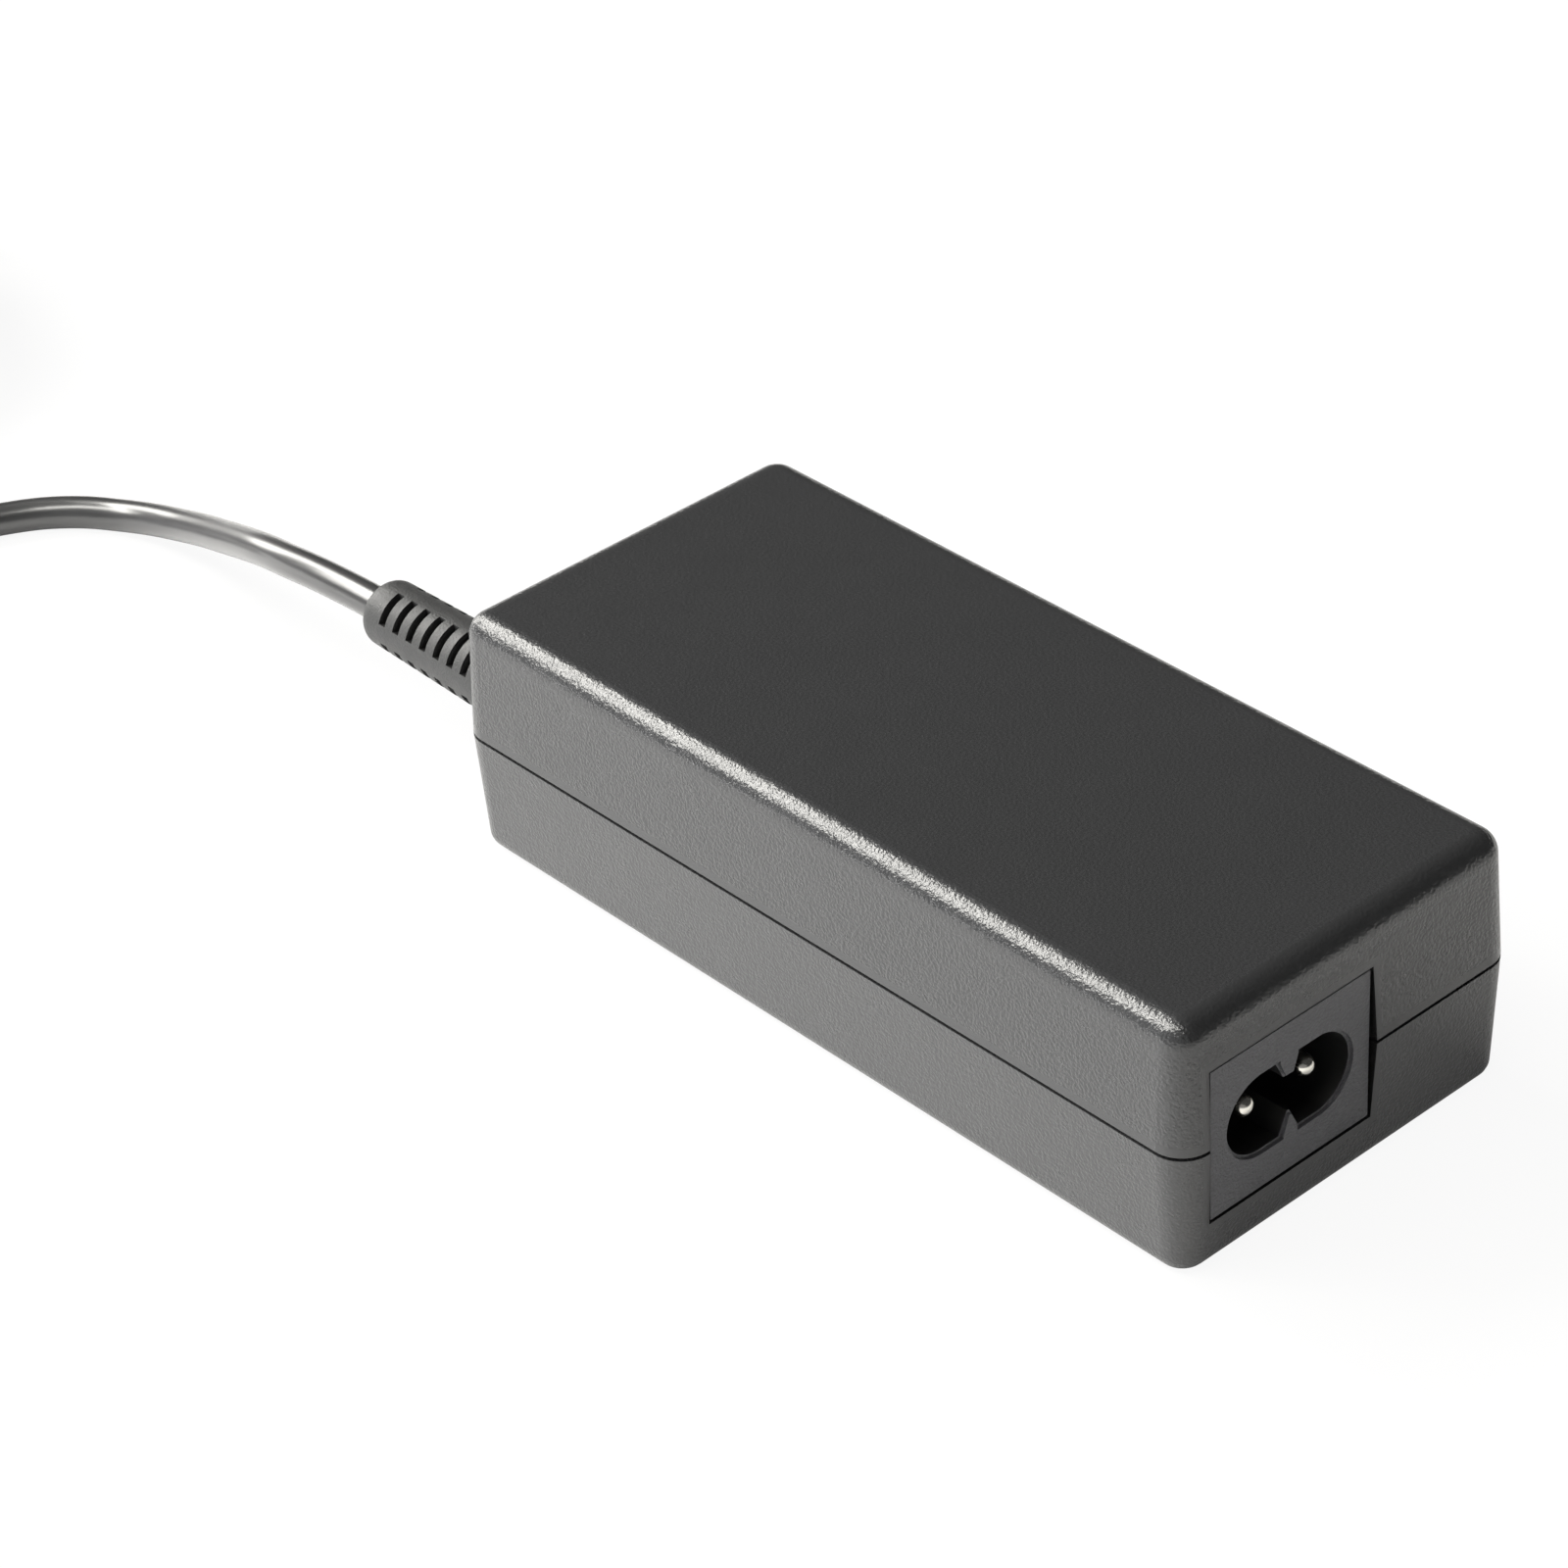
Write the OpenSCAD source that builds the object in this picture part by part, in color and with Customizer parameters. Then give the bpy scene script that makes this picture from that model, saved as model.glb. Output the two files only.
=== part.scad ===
// Laptop power adapter: a two-shell moulded case with a figure-eight mains
// inlet at one end and a moulded cable relief with an output lead at the other.
// Frame: origin at the bottom centre of the case, +Z up, +Y towards the output
// lead, -Y towards the mains inlet. Millimetres.

/* [Case] */
// Width of the case at the parting line
case_w = 47.6; // [46.8:0.1:52]
// Length of the case at the parting line
case_l = 108; // [106:0.5:118]
// Overall height of the case
case_h = 29.8; // [29.4:0.1:33]
// Height of the parting line above the middle of the case's height
parting_rise = 0.1; // [-0.3:0.1:1.6]
// Draft of the walls, in degrees
draft = 3; // [1:0.25:3.5]
// Thickness of the moulded walls
wall = 2; // [1.6:0.1:2.4]
// Radius of the four upright corners at the parting line
corner_r = 3.6; // [3.2:0.1:6]
// Radius of the edge round the top face
top_edge_r = 2.6; // [1:0.1:2.7]
// Radius of the edge round the base
base_edge_r = 2; // [0.8:0.1:2.5]
// Radius of the edges inside the shells
inner_edge_r = 0.8; // [0.4:0.1:0.9]

/* [Seam] */
// Height of the open groove that shows between the shells
seam_gap = 0.4; // [0.2:0.05:0.6]
// Height of the tongue above the parting line
tongue_h = 1.8; // [1.2:0.1:2.2]
// Thickness of the tongue
tongue_t = 0.9; // [0.7:0.05:1]
// Gap between the tongue and the wall of its groove
tongue_gap = 0.1; // [0.05:0.01:0.15]

/* [Mains inlet] */
// Distance from the left side of the case to the centre of the inlet
inlet_side = 15.5; // [15:0.1:16.8]
// Width of the inlet's face
inlet_face_w = 22.2; // [21.2:0.1:22.8]
// Height of the inlet's face
inlet_face_h = 17.8; // [16.6:0.1:18.4]
// Depth of the inlet's face behind the front of the case
inlet_setback = 0.6; // [0.3:0.05:0.8]
// Gap round the inlet's face
inlet_gap = 0.3; // [0.15:0.05:0.35]
// How much wider the window for the inlet's face is at the parting plane, each side
window_spread = 0.25; // [0.1:0.05:0.4]
// How far the hidden flange reaches past the face on each side
inlet_flange_lip = 1.3; // [0.8:0.1:1.5]
// Thickness of the hidden flange
inlet_flange_t = 1.6; // [1.2:0.1:2]
// Width of the inlet's body
inlet_body_w = 21; // [20.4:0.1:21.6]
// Length from the inlet's face to the back of its body
inlet_depth = 17; // [16:0.1:17.5]
// Distance between the two pins
pin_pitch = 8.6; // [8.4:0.1:8.8]
// Diameter of each pin
pin_d = 2.4; // [2.3:0.05:2.5]
// Diameter of each pin's root, which the body holds
pin_root_d = 2; // [1.8:0.1:2.2]
// Depth of each pin's tip behind the inlet's face
pin_setback = 1.2; // [1:0.1:2.5]
// Radius of the two lobes of the socket
lobe_r = 4.55; // [4.3:0.05:4.7]
// Distance between the centres of the two lobes
lobe_pitch = 8; // [7.8:0.1:8.2]
// Depth of the socket
socket_depth = 12.5; // [11.5:0.1:13.5]
// Width of the flare round the mouth of the socket
mouth_flare = 0.35; // [0.1:0.05:0.5]
// Reach of the upper key into the socket
upper_key = 2.2; // [1.8:0.05:2.25]
// Reach of the lower key into the socket
lower_key = 2.5; // [2:0.05:2.55]

/* [Cable relief] */
// Distance from the left side of the case to the centre of the relief
relief_side = 9.5; // [8.8:0.1:10.8]
// Diameter of the relief where it leaves the case
relief_d = 8.9; // [8.4:0.1:9.4]
// Diameter of the relief near its tip
relief_tip_d = 7.9; // [7.2:0.1:8.4]
// Length of the relief outside the case
relief_l = 25.3; // [23:0.1:32]
// Radius of the rounded tip
relief_tip_r = 1.8; // [1.2:0.1:1.9]
// Number of slot rings along the relief
slot_rings = 8; // [4:1:8]
// Distance from one slot ring to the next
slot_pitch = 2.45; // [2.2:0.01:2.48]
// Width of each slot
slot_w = 1.1; // [0.6:0.05:1.2]
// Depth of each slot
slot_depth = 1.3; // [0.8:0.05:1.5]
// Angle that each slot of the two long rows covers, in degrees
slot_angle = 62; // [40:1:72]
// Angle that each slot of the two short rows covers, in degrees
slot_short_angle = 46; // [30:1:60]
// Distance from the tip to the first slot ring
slot_first = 4.5; // [3:0.05:5]
// Width across the square neck in the wall
neck_w = 7; // [6.4:0.1:7.4]
// Width across the flange inside the case
relief_flange_w = 11; // [10:0.1:11.4]
// Thickness of the flange inside the case
relief_flange_t = 3; // [2:0.1:3.2]
// Depth of the round seat in the outside of the wall
relief_seat = 0.9; // [0.5:0.05:1.1]
// Gap between the relief and the shells
relief_gap = 0.1; // [0.05:0.01:0.15]

/* [Cord] */
// Diameter of the cord
cord_d = 4; // [3.6:0.1:4.2]
// Length of cord inside the case, behind the flange
cord_inside = 2; // [1:0.1:3]
// Diameter of each output wire
wire_d = 1.8; // [1.4:0.1:2]

/* [Coil] */
// Radius of the outermost turn's centre line
coil_r = 26.4; // [26:0.1:30]
// Number of turns in the coil, the last one short of whole
coil_turns = 7; // [5:1:7]
// Gap between neighbouring turns
turn_gap = 0.5; // [0.45:0.01:0.6]
// Thickness of the strap that ties the coil
tie_t = 0.6; // [0.4:0.05:0.8]
// Width of the strap
tie_w = 8; // [5:0.5:10]
// Gap between the strap and the turns
tie_gap = 0.1; // [0.05:0.01:0.2]

/* [Output plug] */
// Diameter of the plug's grip
grip_d = 10; // [9:0.1:10.6]
// Length of the grip
grip_l = 19; // [16:0.5:20]
// Length of the tapered boot behind the grip
boot_l = 8; // [6:0.5:9]
// Outer diameter of the barrel
barrel_d = 5.5; // [5.4:0.05:5.6]
// Diameter of the hole in the barrel's contact
contact_bore = 2.5; // [2.4:0.05:2.6]
// Depth of the hole in the barrel's contact
contact_depth = 8.5; // [7:0.1:9]
// Length of the barrel in front of the grip
barrel_l = 9.5; // [9:0.1:10]
// How far the collar at the root of the barrel stands out, inside the grip
sleeve_collar = 0.6; // [0.3:0.05:0.65]
// Wall of the barrel's outer sleeve
sleeve_wall = 0.4; // [0.3:0.05:0.45]
// Wall of the inner contact
contact_wall = 0.35; // [0.25:0.05:0.4]

/* [Circuit board] */
// Thickness of the circuit board
board_t = 1.6; // [1.4:0.1:1.6]
// Height of the board's underside above the floor of the case
board_lift = 3.4; // [3.2:0.1:3.6]
// Gap between the ends of the board and what is next to them
board_gap = 0.6; // [0.3:0.1:0.9]
// Diameter of the four posts that carry the board
post_d = 5; // [4:0.1:5.4]
// Diameter of the locating pegs on the posts
peg_d = 2; // [1.6:0.1:2.4]
// Gap between a peg and its hole
peg_gap = 0.2; // [0.1:0.05:0.3]
// Thickness of the insulating sheet
sheet_t = 0.4; // [0.3:0.05:0.5]
// Gap between the insulating sheet and its neighbours
sheet_gap = 0.15; // [0.1:0.05:0.25]
// Gap round pieces that are moulded or pressed into another
insert_gap = 0.02; // [0.01:0.01:0.04]
// Least gap between neighbouring components
part_gap = 1.6; // [1:0.1:1.8]

/* [Input components] */
// Gap on each side of the fuse, to the inlet and to the post beside it
fuse_gap = 2; // [1.6:0.1:2.4]
// Height of the fuse
fuse_h = 7.6; // [7:0.1:12]
// Diameter of the surge absorber's disc
varistor_d = 10; // [8:0.1:10.6]
// Thickness of the surge absorber's disc
varistor_t = 4; // [3:0.1:4.2]
// Gap between the interference capacitor and the line choke
x_cap_gap = 0.6; // [0.4:0.1:1.2]
// Thickness of the interference capacitor
x_cap_t = 8.5; // [7:0.1:8.8]
// Height of the interference capacitor
x_cap_h = 14.5; // [12:0.1:17]
// Gap between the line choke and the heat spreader above it
choke_headroom = 1.7; // [1.2:0.1:3]
// Diameter of the hole in the line choke's core
choke_hole = 8; // [7:0.1:8.6]
// Thickness of the line choke's core
choke_t = 6; // [5:0.1:6.4]
// Thickness of the wire wound on the line choke
choke_wind = 1.2; // [0.8:0.1:1.4]
// How far the bridge rectifier's ends stay inside those of the capacitor
bridge_inset = 1.6; // [1.2:0.1:2.4]
// Height of the bridge rectifier's body
bridge_h = 10.6; // [9:0.1:12]
// Thickness of the bridge rectifier
bridge_t = 3.6; // [3:0.1:3.8]
// Diameter of the reservoir capacitor
bulk_d = 16; // [14:0.1:16.2]

/* [Power components] */
// Thickness of the heat sinks
sink_t = 2; // [1.5:0.1:2.2]
// Width of the heat sinks' top flange
sink_flange = 8; // [6:0.1:8.4]
// Gap between the two heat sinks
sink_gap_y = 6; // [5:0.5:12]
// Thickness of the heat-conducting pads
pad_t = 1; // [0.6:0.1:1.4]
// Thickness of the heat spreader
spreader_t = 1; // [0.6:0.1:1.2]
// Gap between the heat spreader and the top of the case
spreader_gap = 0.2; // [0.1:0.05:0.3]
// Width of the transformer's core
core_w = 24; // [22:0.1:24.4]
// Thickness of the transformer's core
core_t = 8; // [7:0.1:8.6]
// Gap between the transformer's core and the heat spreader above it
core_headroom = 1.4; // [1.2:0.1:2.6]
// Thickness of the core's back and outer legs
core_leg = 4; // [3.5:0.1:4.2]
// Width of the core's middle leg
core_mid = 7; // [6:0.1:7.4]
// Length of the transformer over its windings
transformer_l = 20; // [18:0.1:20.6]
// Thickness of the bobbin's walls
bobbin_t = 0.8; // [0.6:0.05:0.9]

/* [Output components] */
// Free length between the output capacitors and the cable relief
output_space = 9.8; // [4:0.1:10]
// Gap between the output capacitors and the heat sink's flange
out_cap_side = 1.8; // [1.6:0.1:3.6]
// Height of the output capacitors
out_cap_h = 16; // [12:0.1:17.5]
// Diameter of the output choke
out_choke_d = 9; // [7:0.1:9.4]
// Height of the output choke
out_choke_h = 12; // [9:0.1:15]

/* [Hidden] */
$fn = 64;
// Overshoot of a cutter past the face that it cuts
over = 1;

// Case
lean = tan(draft);
parting_z = case_h / 2 + parting_rise;
top_h = case_h - parting_z;
floor_z = wall;
ceiling_z = case_h - wall;
half_w = case_w / 2;
half_l = case_l / 2;
// Half width of the space inside at the floor
floor_half_w = half_w - wall - lean * (parting_z - wall);
shell_black = [0.13, 0.13, 0.14];
// How far ribs and posts run into the wall that they stand on
rib_sunk = 0.3;

// Mains inlet
inlet_x = inlet_side - half_w;
inlet_drop = 0.15;
inlet_z = parting_z - inlet_drop;
inlet_face_y = -half_l + inlet_setback;
// The shells' pads stand upright, just proud of the drafted walls behind them
pad_proud = 0.15;
inlet_seat_y =
    -half_l + wall + lean * (inlet_face_h / 2 + inlet_flange_lip) + pad_proud;
inlet_flange_w = inlet_face_w + 2 * inlet_flange_lip;
inlet_flange_h = inlet_face_h + 2 * inlet_flange_lip;
inlet_flange_back_y = inlet_seat_y + inlet_flange_t;
inlet_back_y = inlet_face_y + inlet_depth;
inlet_stop_t = 1.5;
// Ribs behind the flange, above and below the inlet's body
inlet_stop_w = 16;
inlet_stop_gap = 0.3;
inlet_stop_y = inlet_flange_back_y + 0.1;
pin_r = pin_d / 2;
pin_tail_w = 1.6;
pin_tail_t = 0.8;
// Keys in the socket: where each starts at its root and at its tip, in X
upper_key_root = [-1.8, 1.4];
upper_key_tip = [-0.7, 0.4];
lower_key_root = [-1.3, 1.4];
lower_key_tip = [-0.15, 0.15];

// Cable relief
relief_x = relief_side - half_w;
relief_seat_y = half_l - relief_seat;
relief_pad_y = half_l - wall - lean * (relief_flange_w / 2 + over) - pad_proud;
relief_tip_y = half_l + relief_l;
relief_pad_w = relief_flange_w + 2;
slot_rows = 4;
slot_row_turn = 51;
relief_flange_r = 1;
relief_bore_d = cord_d + 2 * insert_gap;

// Board and the heights that hang on it
board_z = floor_z + board_lift;
board_top = board_z + board_t;
// The inlet's body stands on the board, as far above its middle as below
inlet_body_top = 2 * inlet_z - board_top;
sheet_half_w = floor_half_w - sheet_gap;
board_w = 2 * (sheet_half_w - sheet_t - sheet_gap);
board_y0 = inlet_stop_y + inlet_stop_t + board_gap;
board_y1 = half_l - wall - lean * (parting_z - board_z) - board_gap;
board_l = board_y1 - board_y0;
post_inset_x = 3.2;
post_inset_y = 3.4;
post_x = board_w / 2 - post_inset_x;
post_y0 = board_y0 + post_inset_y;
post_y1 = board_y1 - post_inset_y;
peg_h = board_t - 0.3;
hold_gap = 0.1;
spreader_z = ceiling_z - spreader_gap - spreader_t;
sink_top = spreader_z - pad_t;
spreader_fold = 12;
spreader_fold_t = 0.5;
lead_d = 0.8;

// Edges and ends that the components keep clear of
board_half = board_w / 2;
relief_flange_y0 = relief_pad_y - relief_gap - relief_flange_t;
cord_end_y = relief_flange_y0 - cord_inside;
edge_gap = 1.6;
sink_from_edge = 1;
sink_side_x = board_half - sink_from_edge;
sink_x = sink_side_x - sink_t;

// Output capacitors, between the cord's end and the heat sink's flange
wire_side = 0.3;
out_cap_x0 = relief_x + cord_d / 2 + wire_side;
out_cap_x1 = sink_side_x - sink_flange - out_cap_side;
out_cap_d = (out_cap_x1 - out_cap_x0 - part_gap) / 2;
out_cap_x_left = out_cap_x0 + out_cap_d / 2;
out_cap_x_right = out_cap_x1 - out_cap_d / 2;

// Line choke, which fills the height under the heat spreader
choke_base_h = 0.5;
choke_base_w = 6;
choke_base_sunk = 0.5;
choke_wind_gap = 0.05;
choke_wind_angle = 120;
choke_side = 3.7;
choke_d = spreader_z - choke_headroom - board_top - choke_base_h - 2 * choke_wind;
choke_r = choke_d / 2 + choke_wind;
choke_x = board_half - choke_side - choke_r;
choke_z = board_top + choke_base_h + choke_r;

// Left row: capacitor, rectifier, reservoir capacitor, transformer
x_cap_x0 = edge_gap - board_half;
x_cap_w = choke_x - choke_r - x_cap_gap - x_cap_x0;
x_cap_x = x_cap_x0 + x_cap_w / 2;
x_cap_y0 = inlet_back_y + part_gap;
bridge_w = x_cap_w - 2 * bridge_inset;
bridge_y0 = x_cap_y0 + x_cap_t + part_gap;
bridge_lead_h = 3;
bulk_y0 = bridge_y0 + bridge_t + part_gap;
bulk_side = 0.5;
glue_t = 0.2;
bulk_z = board_top + bulk_d / 2 + glue_t;
transformer_y0 =
    relief_flange_y0 - output_space - out_cap_d - part_gap - transformer_l;
transformer_y = transformer_y0 + transformer_l / 2;
out_cap_y = transformer_y0 + transformer_l + part_gap + out_cap_d / 2;
bulk_l = transformer_y0 - part_gap - bulk_y0;
core_foot = 1.6;
core_z = board_top + core_foot;
core_h = spreader_z - core_headroom - core_z;
core_gap = 0.15;

// Right row: fuse, surge absorber, line choke, heat sinks, output choke
fuse_from_end = 1;
fuse_room = [inlet_x + inlet_body_w / 2, post_x - post_d / 2];
fuse_d = fuse_room[1] - fuse_room[0] - 2 * fuse_gap;
fuse_x = (fuse_room[0] + fuse_room[1]) / 2;
fuse_y = board_y0 + fuse_d / 2 + fuse_from_end;
varistor_x = board_half - edge_gap - varistor_t / 2;
varistor_y = post_y0 + post_d / 2 + varistor_d / 2 + part_gap;
varistor_lift = 1.4;
choke_y = varistor_y + varistor_d / 2 + part_gap + choke_t / 2 + choke_wind;
out_choke_y = post_y1 - post_d / 2 - part_gap / 2 - out_choke_d / 2;
sink_in_y0 = choke_y + choke_t / 2 + choke_wind + part_gap;
sink_out_y1 = out_choke_y - out_choke_d / 2 - part_gap;
sink_l = (sink_out_y1 - sink_in_y0 - sink_gap_y) / 2;
sink_out_y0 = sink_out_y1 - sink_l;
out_choke_from_edge = 0.5;
out_choke_x = sink_side_x - out_choke_from_edge - out_choke_d / 2;
spreader_x0 = -sink_side_x;
bulk_x = spreader_x0 + spreader_fold_t + bulk_side + bulk_d / 2;
transformer_x = (sink_side_x - sink_flange - board_half) / 2;

// Power packages on the heat sinks
package_w = 10;
package_t = 4.4;
package_tab_h = 5.8;
package_tab_t = 1.3;
package_lift = 1.2;
package_headroom = 0.8;
package_top = sink_top - sink_t - package_headroom;
package_body_h = package_top - package_tab_h - package_lift - board_top;
package_hole_d = 3.6;
package_lead_t = 0.6;
package_lead_pitch = 2.54;
screw_d = 2.9;
screw_hole_d = 3;
screw_head_d = 5.4;
screw_head_t = 1.8;
screw_z = package_top - package_tab_h / 2;
transistor_y = sink_in_y0 + sink_l / 2;
rectifier_y = sink_out_y0 + sink_l / 2;

// Middle row: small capacitor beside the optocoupler, then a disc capacitor
start_cap_d = 5.4;
start_cap_h = 11;
start_cap_x = bulk_x + bulk_d / 2 + part_gap + start_cap_d / 2;
start_cap_y = sink_in_y0 + start_cap_d / 2;
opto_w = 4.6;
opto_l = 6.4;
opto_h = 3.4;
opto_x = start_cap_x + start_cap_d / 2 + part_gap + opto_w / 2;
opto_y = sink_in_y0 + opto_l / 2;
y_cap_room = [bulk_x + bulk_d / 2 + part_gap, sink_x - package_t - part_gap];
y_cap_inset = 2.1;
y_cap_d = y_cap_room[1] - y_cap_room[0] - 2 * y_cap_inset;
y_cap_t = 4;
y_cap_x = (y_cap_room[0] + y_cap_room[1]) / 2;
y_cap_y = sink_in_y0 + opto_l + part_gap + y_cap_t / 2;

// Height and radius of the groove round a can, as shares of its diameter
can_groove_z = 0.17;
can_groove_r = 0.045;

// Chips under the board
chip_size = [3.9, 4.9, 1.5];
chip_leg = [1.1, 0.45, 0.3];
chip_leg_pitch = 1.27;
chip_legs = 4;
chip_part = [1.6, 0.8, 0.6];
chip_part_pitch = [3.2, 4.5];
chip_part_rows = [4, 3];
chip_part_inset = 4;

wire_gap = 0.1;
wire_bend_r = 2.4;

// Cord route from the tip of the cable relief to the coil: sideways offset,
// distance beyond the tip, and the share of the fall that is still to come
lead_route = [
    [0, 0, 1], [0, 1, 1], [-0.2, 5.3, 1], [-0.4, 11.3, 0.98],
    [-0.3, 17.3, 0.92], [0.5, 23.3, 0.81], [1.7, 29.3, 0.65],
    [2.9, 35.3, 0.48], [3.9, 41.3, 0.32], [4.4, 47.3, 0.17],
    [4, 52.7, 0.07], [2.6, 57.5, 0.01], [0, 61.7, 0], [-3.6, 65.2, 0],
    [-8, 67.9, 0], [-13.2, 70.3, 0], [-18.6, 73.3, 0], [-23.4, 77.7, 0],
    [-26.8, 83.7, 0], [-29.1, 90.5, 0], [-30.1, 98.3, 0], [-30.1, 107.3, 0]
];
// Coil: turns lie beside and on each other in four layers
coil_layers = 4;
rings_per_turn = 24;
turn_step = cord_d + turn_gap;
turns_wound = coil_turns - 1 / 8;
layer_turns = turns_wound / coil_layers;
coil_lift = tie_t + tie_gap + cord_d / 2;
coil_top = coil_lift + (coil_layers - 1) * turn_step + cord_d / 2;
coil_inner_r = coil_r - turn_step * layer_turns;
tie_reach = sqrt(pow(coil_inner_r - cord_d / 2, 2) - pow(tie_w / 2, 2));

// Plug on top of the coil, pointing along +X
boot_tip_d = 6;
plug_seat_gap = 0.1;
plug_axis_z = coil_top + grip_d / 2 + plug_seat_gap;
tail_turn_r = 20;
tail_steps = 9;
sleeve_sunk = 4;
grip_edge_r = 1;

// ---------------------------------------------------------------- helpers

// Outline of a drafted wall with a rounded upper edge, from a corner's axis
// (u = 0) outwards, with the parting plane at v = 0
module edge_profile(reach, height, edge_r)
{
    r = min(edge_r, reach - height * lean);
    cu = reach - (height - r) * lean - r / cos(draft);
    cv = height - r;
    intersection() {
        union() {
            polygon([
                [0, 0], [reach, 0],
                [cu + r * cos(draft), cv + r * sin(draft)],
                [cu, cv], [cu, height], [0, height]
            ]);
            translate([cu, cv]) circle(r);
        }
        square([reach, height]);
    }
}

// Half a case as a solid: flat on the parting plane, drafted and rounded above
module drafted_block(w, l, height, corner, edge_r)
{
    px = w / 2 - corner;
    py = l / 2 - corner;
    for (sx = [-1, 1], sy = [-1, 1])
        translate([sx * px, sy * py, 0])
            rotate_extrude()
                edge_profile(corner, height, edge_r);
    for (side = [0, 180]) {
        rotate([0, 0, side])
            translate([px, 0, 0])
                rotate([90, 0, 0])
                    linear_extrude(2 * py, center = true)
                        edge_profile(corner, height, edge_r);
        rotate([0, 0, side + 90])
            translate([py, 0, 0])
                rotate([90, 0, 0])
                    linear_extrude(2 * px, center = true)
                        edge_profile(corner, height, edge_r);
    }
    translate([-px, -py, 0]) cube([2 * px, 2 * py, height]);
}

// Upright block with rounded corners
module rounded_prism(w, l, r, h)
{
    linear_extrude(h)
        rounded_rectangle(w, l, r);
}

module rounded_rectangle(w, l, r)
{
    for (sx = [-1, 1], sy = [-1, 1])
        translate([sx * (w / 2 - r), sy * (l / 2 - r)])
            circle(r);
    square([w - 2 * r, l], center = true);
    square([w, l - 2 * r], center = true);
}

// Box given by its centre in X and Y, its size and its lowest height
module standing_box(x, y, z, size)
{
    translate([x - size.x / 2, y - size.y / 2, z]) cube(size);
}

module upright(x, y, z, d, h)
{
    translate([x, y, z]) cylinder(d = d, h = h);
}

// Turns a shape drawn along +Z so that it points along +Y
module along_y(x, y, z)
{
    translate([x, y, z]) rotate([-90, 0, 0]) children();
}

module along_x(x, y, z)
{
    translate([x, y, z]) rotate([0, 90, 0]) children();
}

// ------------------------------------------------------------- tube sweep

function unit(v) = v / norm(v);
function place(points, i) = points[max(0, min(len(points) - 1, i))];
function heading(points, i) = unit(place(points, i + 1) - place(points, i - 1));
// Two directions square to the heading, the first of them level
function level_side(t) = unit(cross(t, [0, 0, 1]));
function ring(points, i, r, sides) =
    let (
        t = heading(points, i),
        side = level_side(t),
        rise = cross(side, t)
    )
    [
        for (k = [0:sides - 1])
            points[i]
            + r * cos(360 * k / sides + 180 / sides) * side
            + r * sin(360 * k / sides + 180 / sides) * rise
    ];

// One closed tube along a list of points
module tube(points, d, sides)
{
    count = len(points);
    vertices = [
        for (i = [0:count - 1])
            each ring(points, i, d / 2, sides)
    ];
    walls = [
        for (i = [0:count - 2], k = [0:sides - 1])
            let (
                a = i * sides + k,
                b = i * sides + (k + 1) % sides
            )
            each [[a, b, b + sides], [a, b + sides, a + sides]]
    ];
    near_cap = [for (k = [1:sides - 2]) [0, k + 1, k]];
    last = (count - 1) * sides;
    far_cap = [for (k = [1:sides - 2]) [last, last + k, last + k + 1]];
    polyhedron(vertices, concat(walls, near_cap, far_cap), convexity = 10);
}

// ------------------------------------------------------------ cord routes

lead_points = [
    for (p = lead_route)
        [
            relief_x + p.x,
            relief_tip_y + p.y,
            cord_d / 2 + (parting_z - cord_d / 2) * p.z
        ]
];

lead_end = lead_points[len(lead_points) - 1];
coil_run = 16.8;
coil_start = [lead_end.x, lead_end.y + coil_run, coil_lift];
// The lead lies level over its last run, up to the start of the coil
lead_finish = [coil_start - [0, 2 * cord_d, 0], coil_start];
coil_cx = coil_start.x + coil_r;
coil_cy = coil_start.y + cord_d;

function soft_step(x) = let (c = max(0, min(1, x))) c * c * (3 - 2 * c);
function coil_layer(t) = min(coil_layers - 1, floor(t / layer_turns));
function coil_radius(t) =
    let (
        k = coil_layer(t),
        s = t - k * layer_turns
    )
    k % 2 == 0 ? coil_r - turn_step * s : coil_inner_r + turn_step * s;
// Each climb takes the half turn in which the spiral reverses
function climbs(t, k) =
    k == 0 ? 0 : soft_step((t - k * layer_turns) * 2 + 0.5) + climbs(t, k - 1);
function coil_point(t) =
    let (
        a = 180 - 360 * t,
        r = coil_radius(t)
    )
    [
        coil_cx + r * cos(a),
        coil_cy + r * sin(a),
        coil_lift + turn_step * climbs(t, coil_layers - 1)
    ];
coil_count = round(turns_wound * rings_per_turn);
coil_bend = [for (i = [0:coil_count]) coil_point(i / rings_per_turn)];
coil_end_turn = 180 - 360 * turns_wound;
coil_out = [sin(coil_end_turn), -cos(coil_end_turn), 0];
coil_finish = coil_bend[coil_count] + cord_d * coil_out;
coil_points = concat([coil_start], coil_bend, [coil_finish]);

// Least gap between points of the coil that are more than half a turn apart
coil_least_gap = min([
    for (i = [0:coil_count], j = [i + rings_per_turn / 2:1:coil_count])
        norm(coil_bend[i] - coil_bend[j]) - cord_d
]);
echo(coil_least_gap = coil_least_gap);

// The tail turns inwards over the top of the coil and rises to the plug
tail_start = coil_finish + cord_d / 2 * coil_out;
tail_axis = tail_start + tail_turn_r * [coil_out.y, -coil_out.x, 0];
tail_heading = atan2(coil_out.y, coil_out.x);
function tail_point(s) =
    let (
        a = tail_heading * (1 - s)
    )
    [
        tail_axis.x - tail_turn_r * sin(a),
        tail_axis.y + tail_turn_r * cos(a),
        tail_start.z + (plug_axis_z - tail_start.z) * soft_step(s)
    ];
tail_end = tail_point(1);
tail_points = concat(
    [coil_finish],
    [for (i = [0:tail_steps]) tail_point(i / tail_steps)],
    [tail_end + [cord_d, 0, 0]]
);
plug_x = tail_end.x + cord_d;
plug_y = tail_end.y;
grip_x = plug_x + boot_l;
barrel_x = grip_x + grip_l;

// ------------------------------------------------------------- the shells

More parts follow.
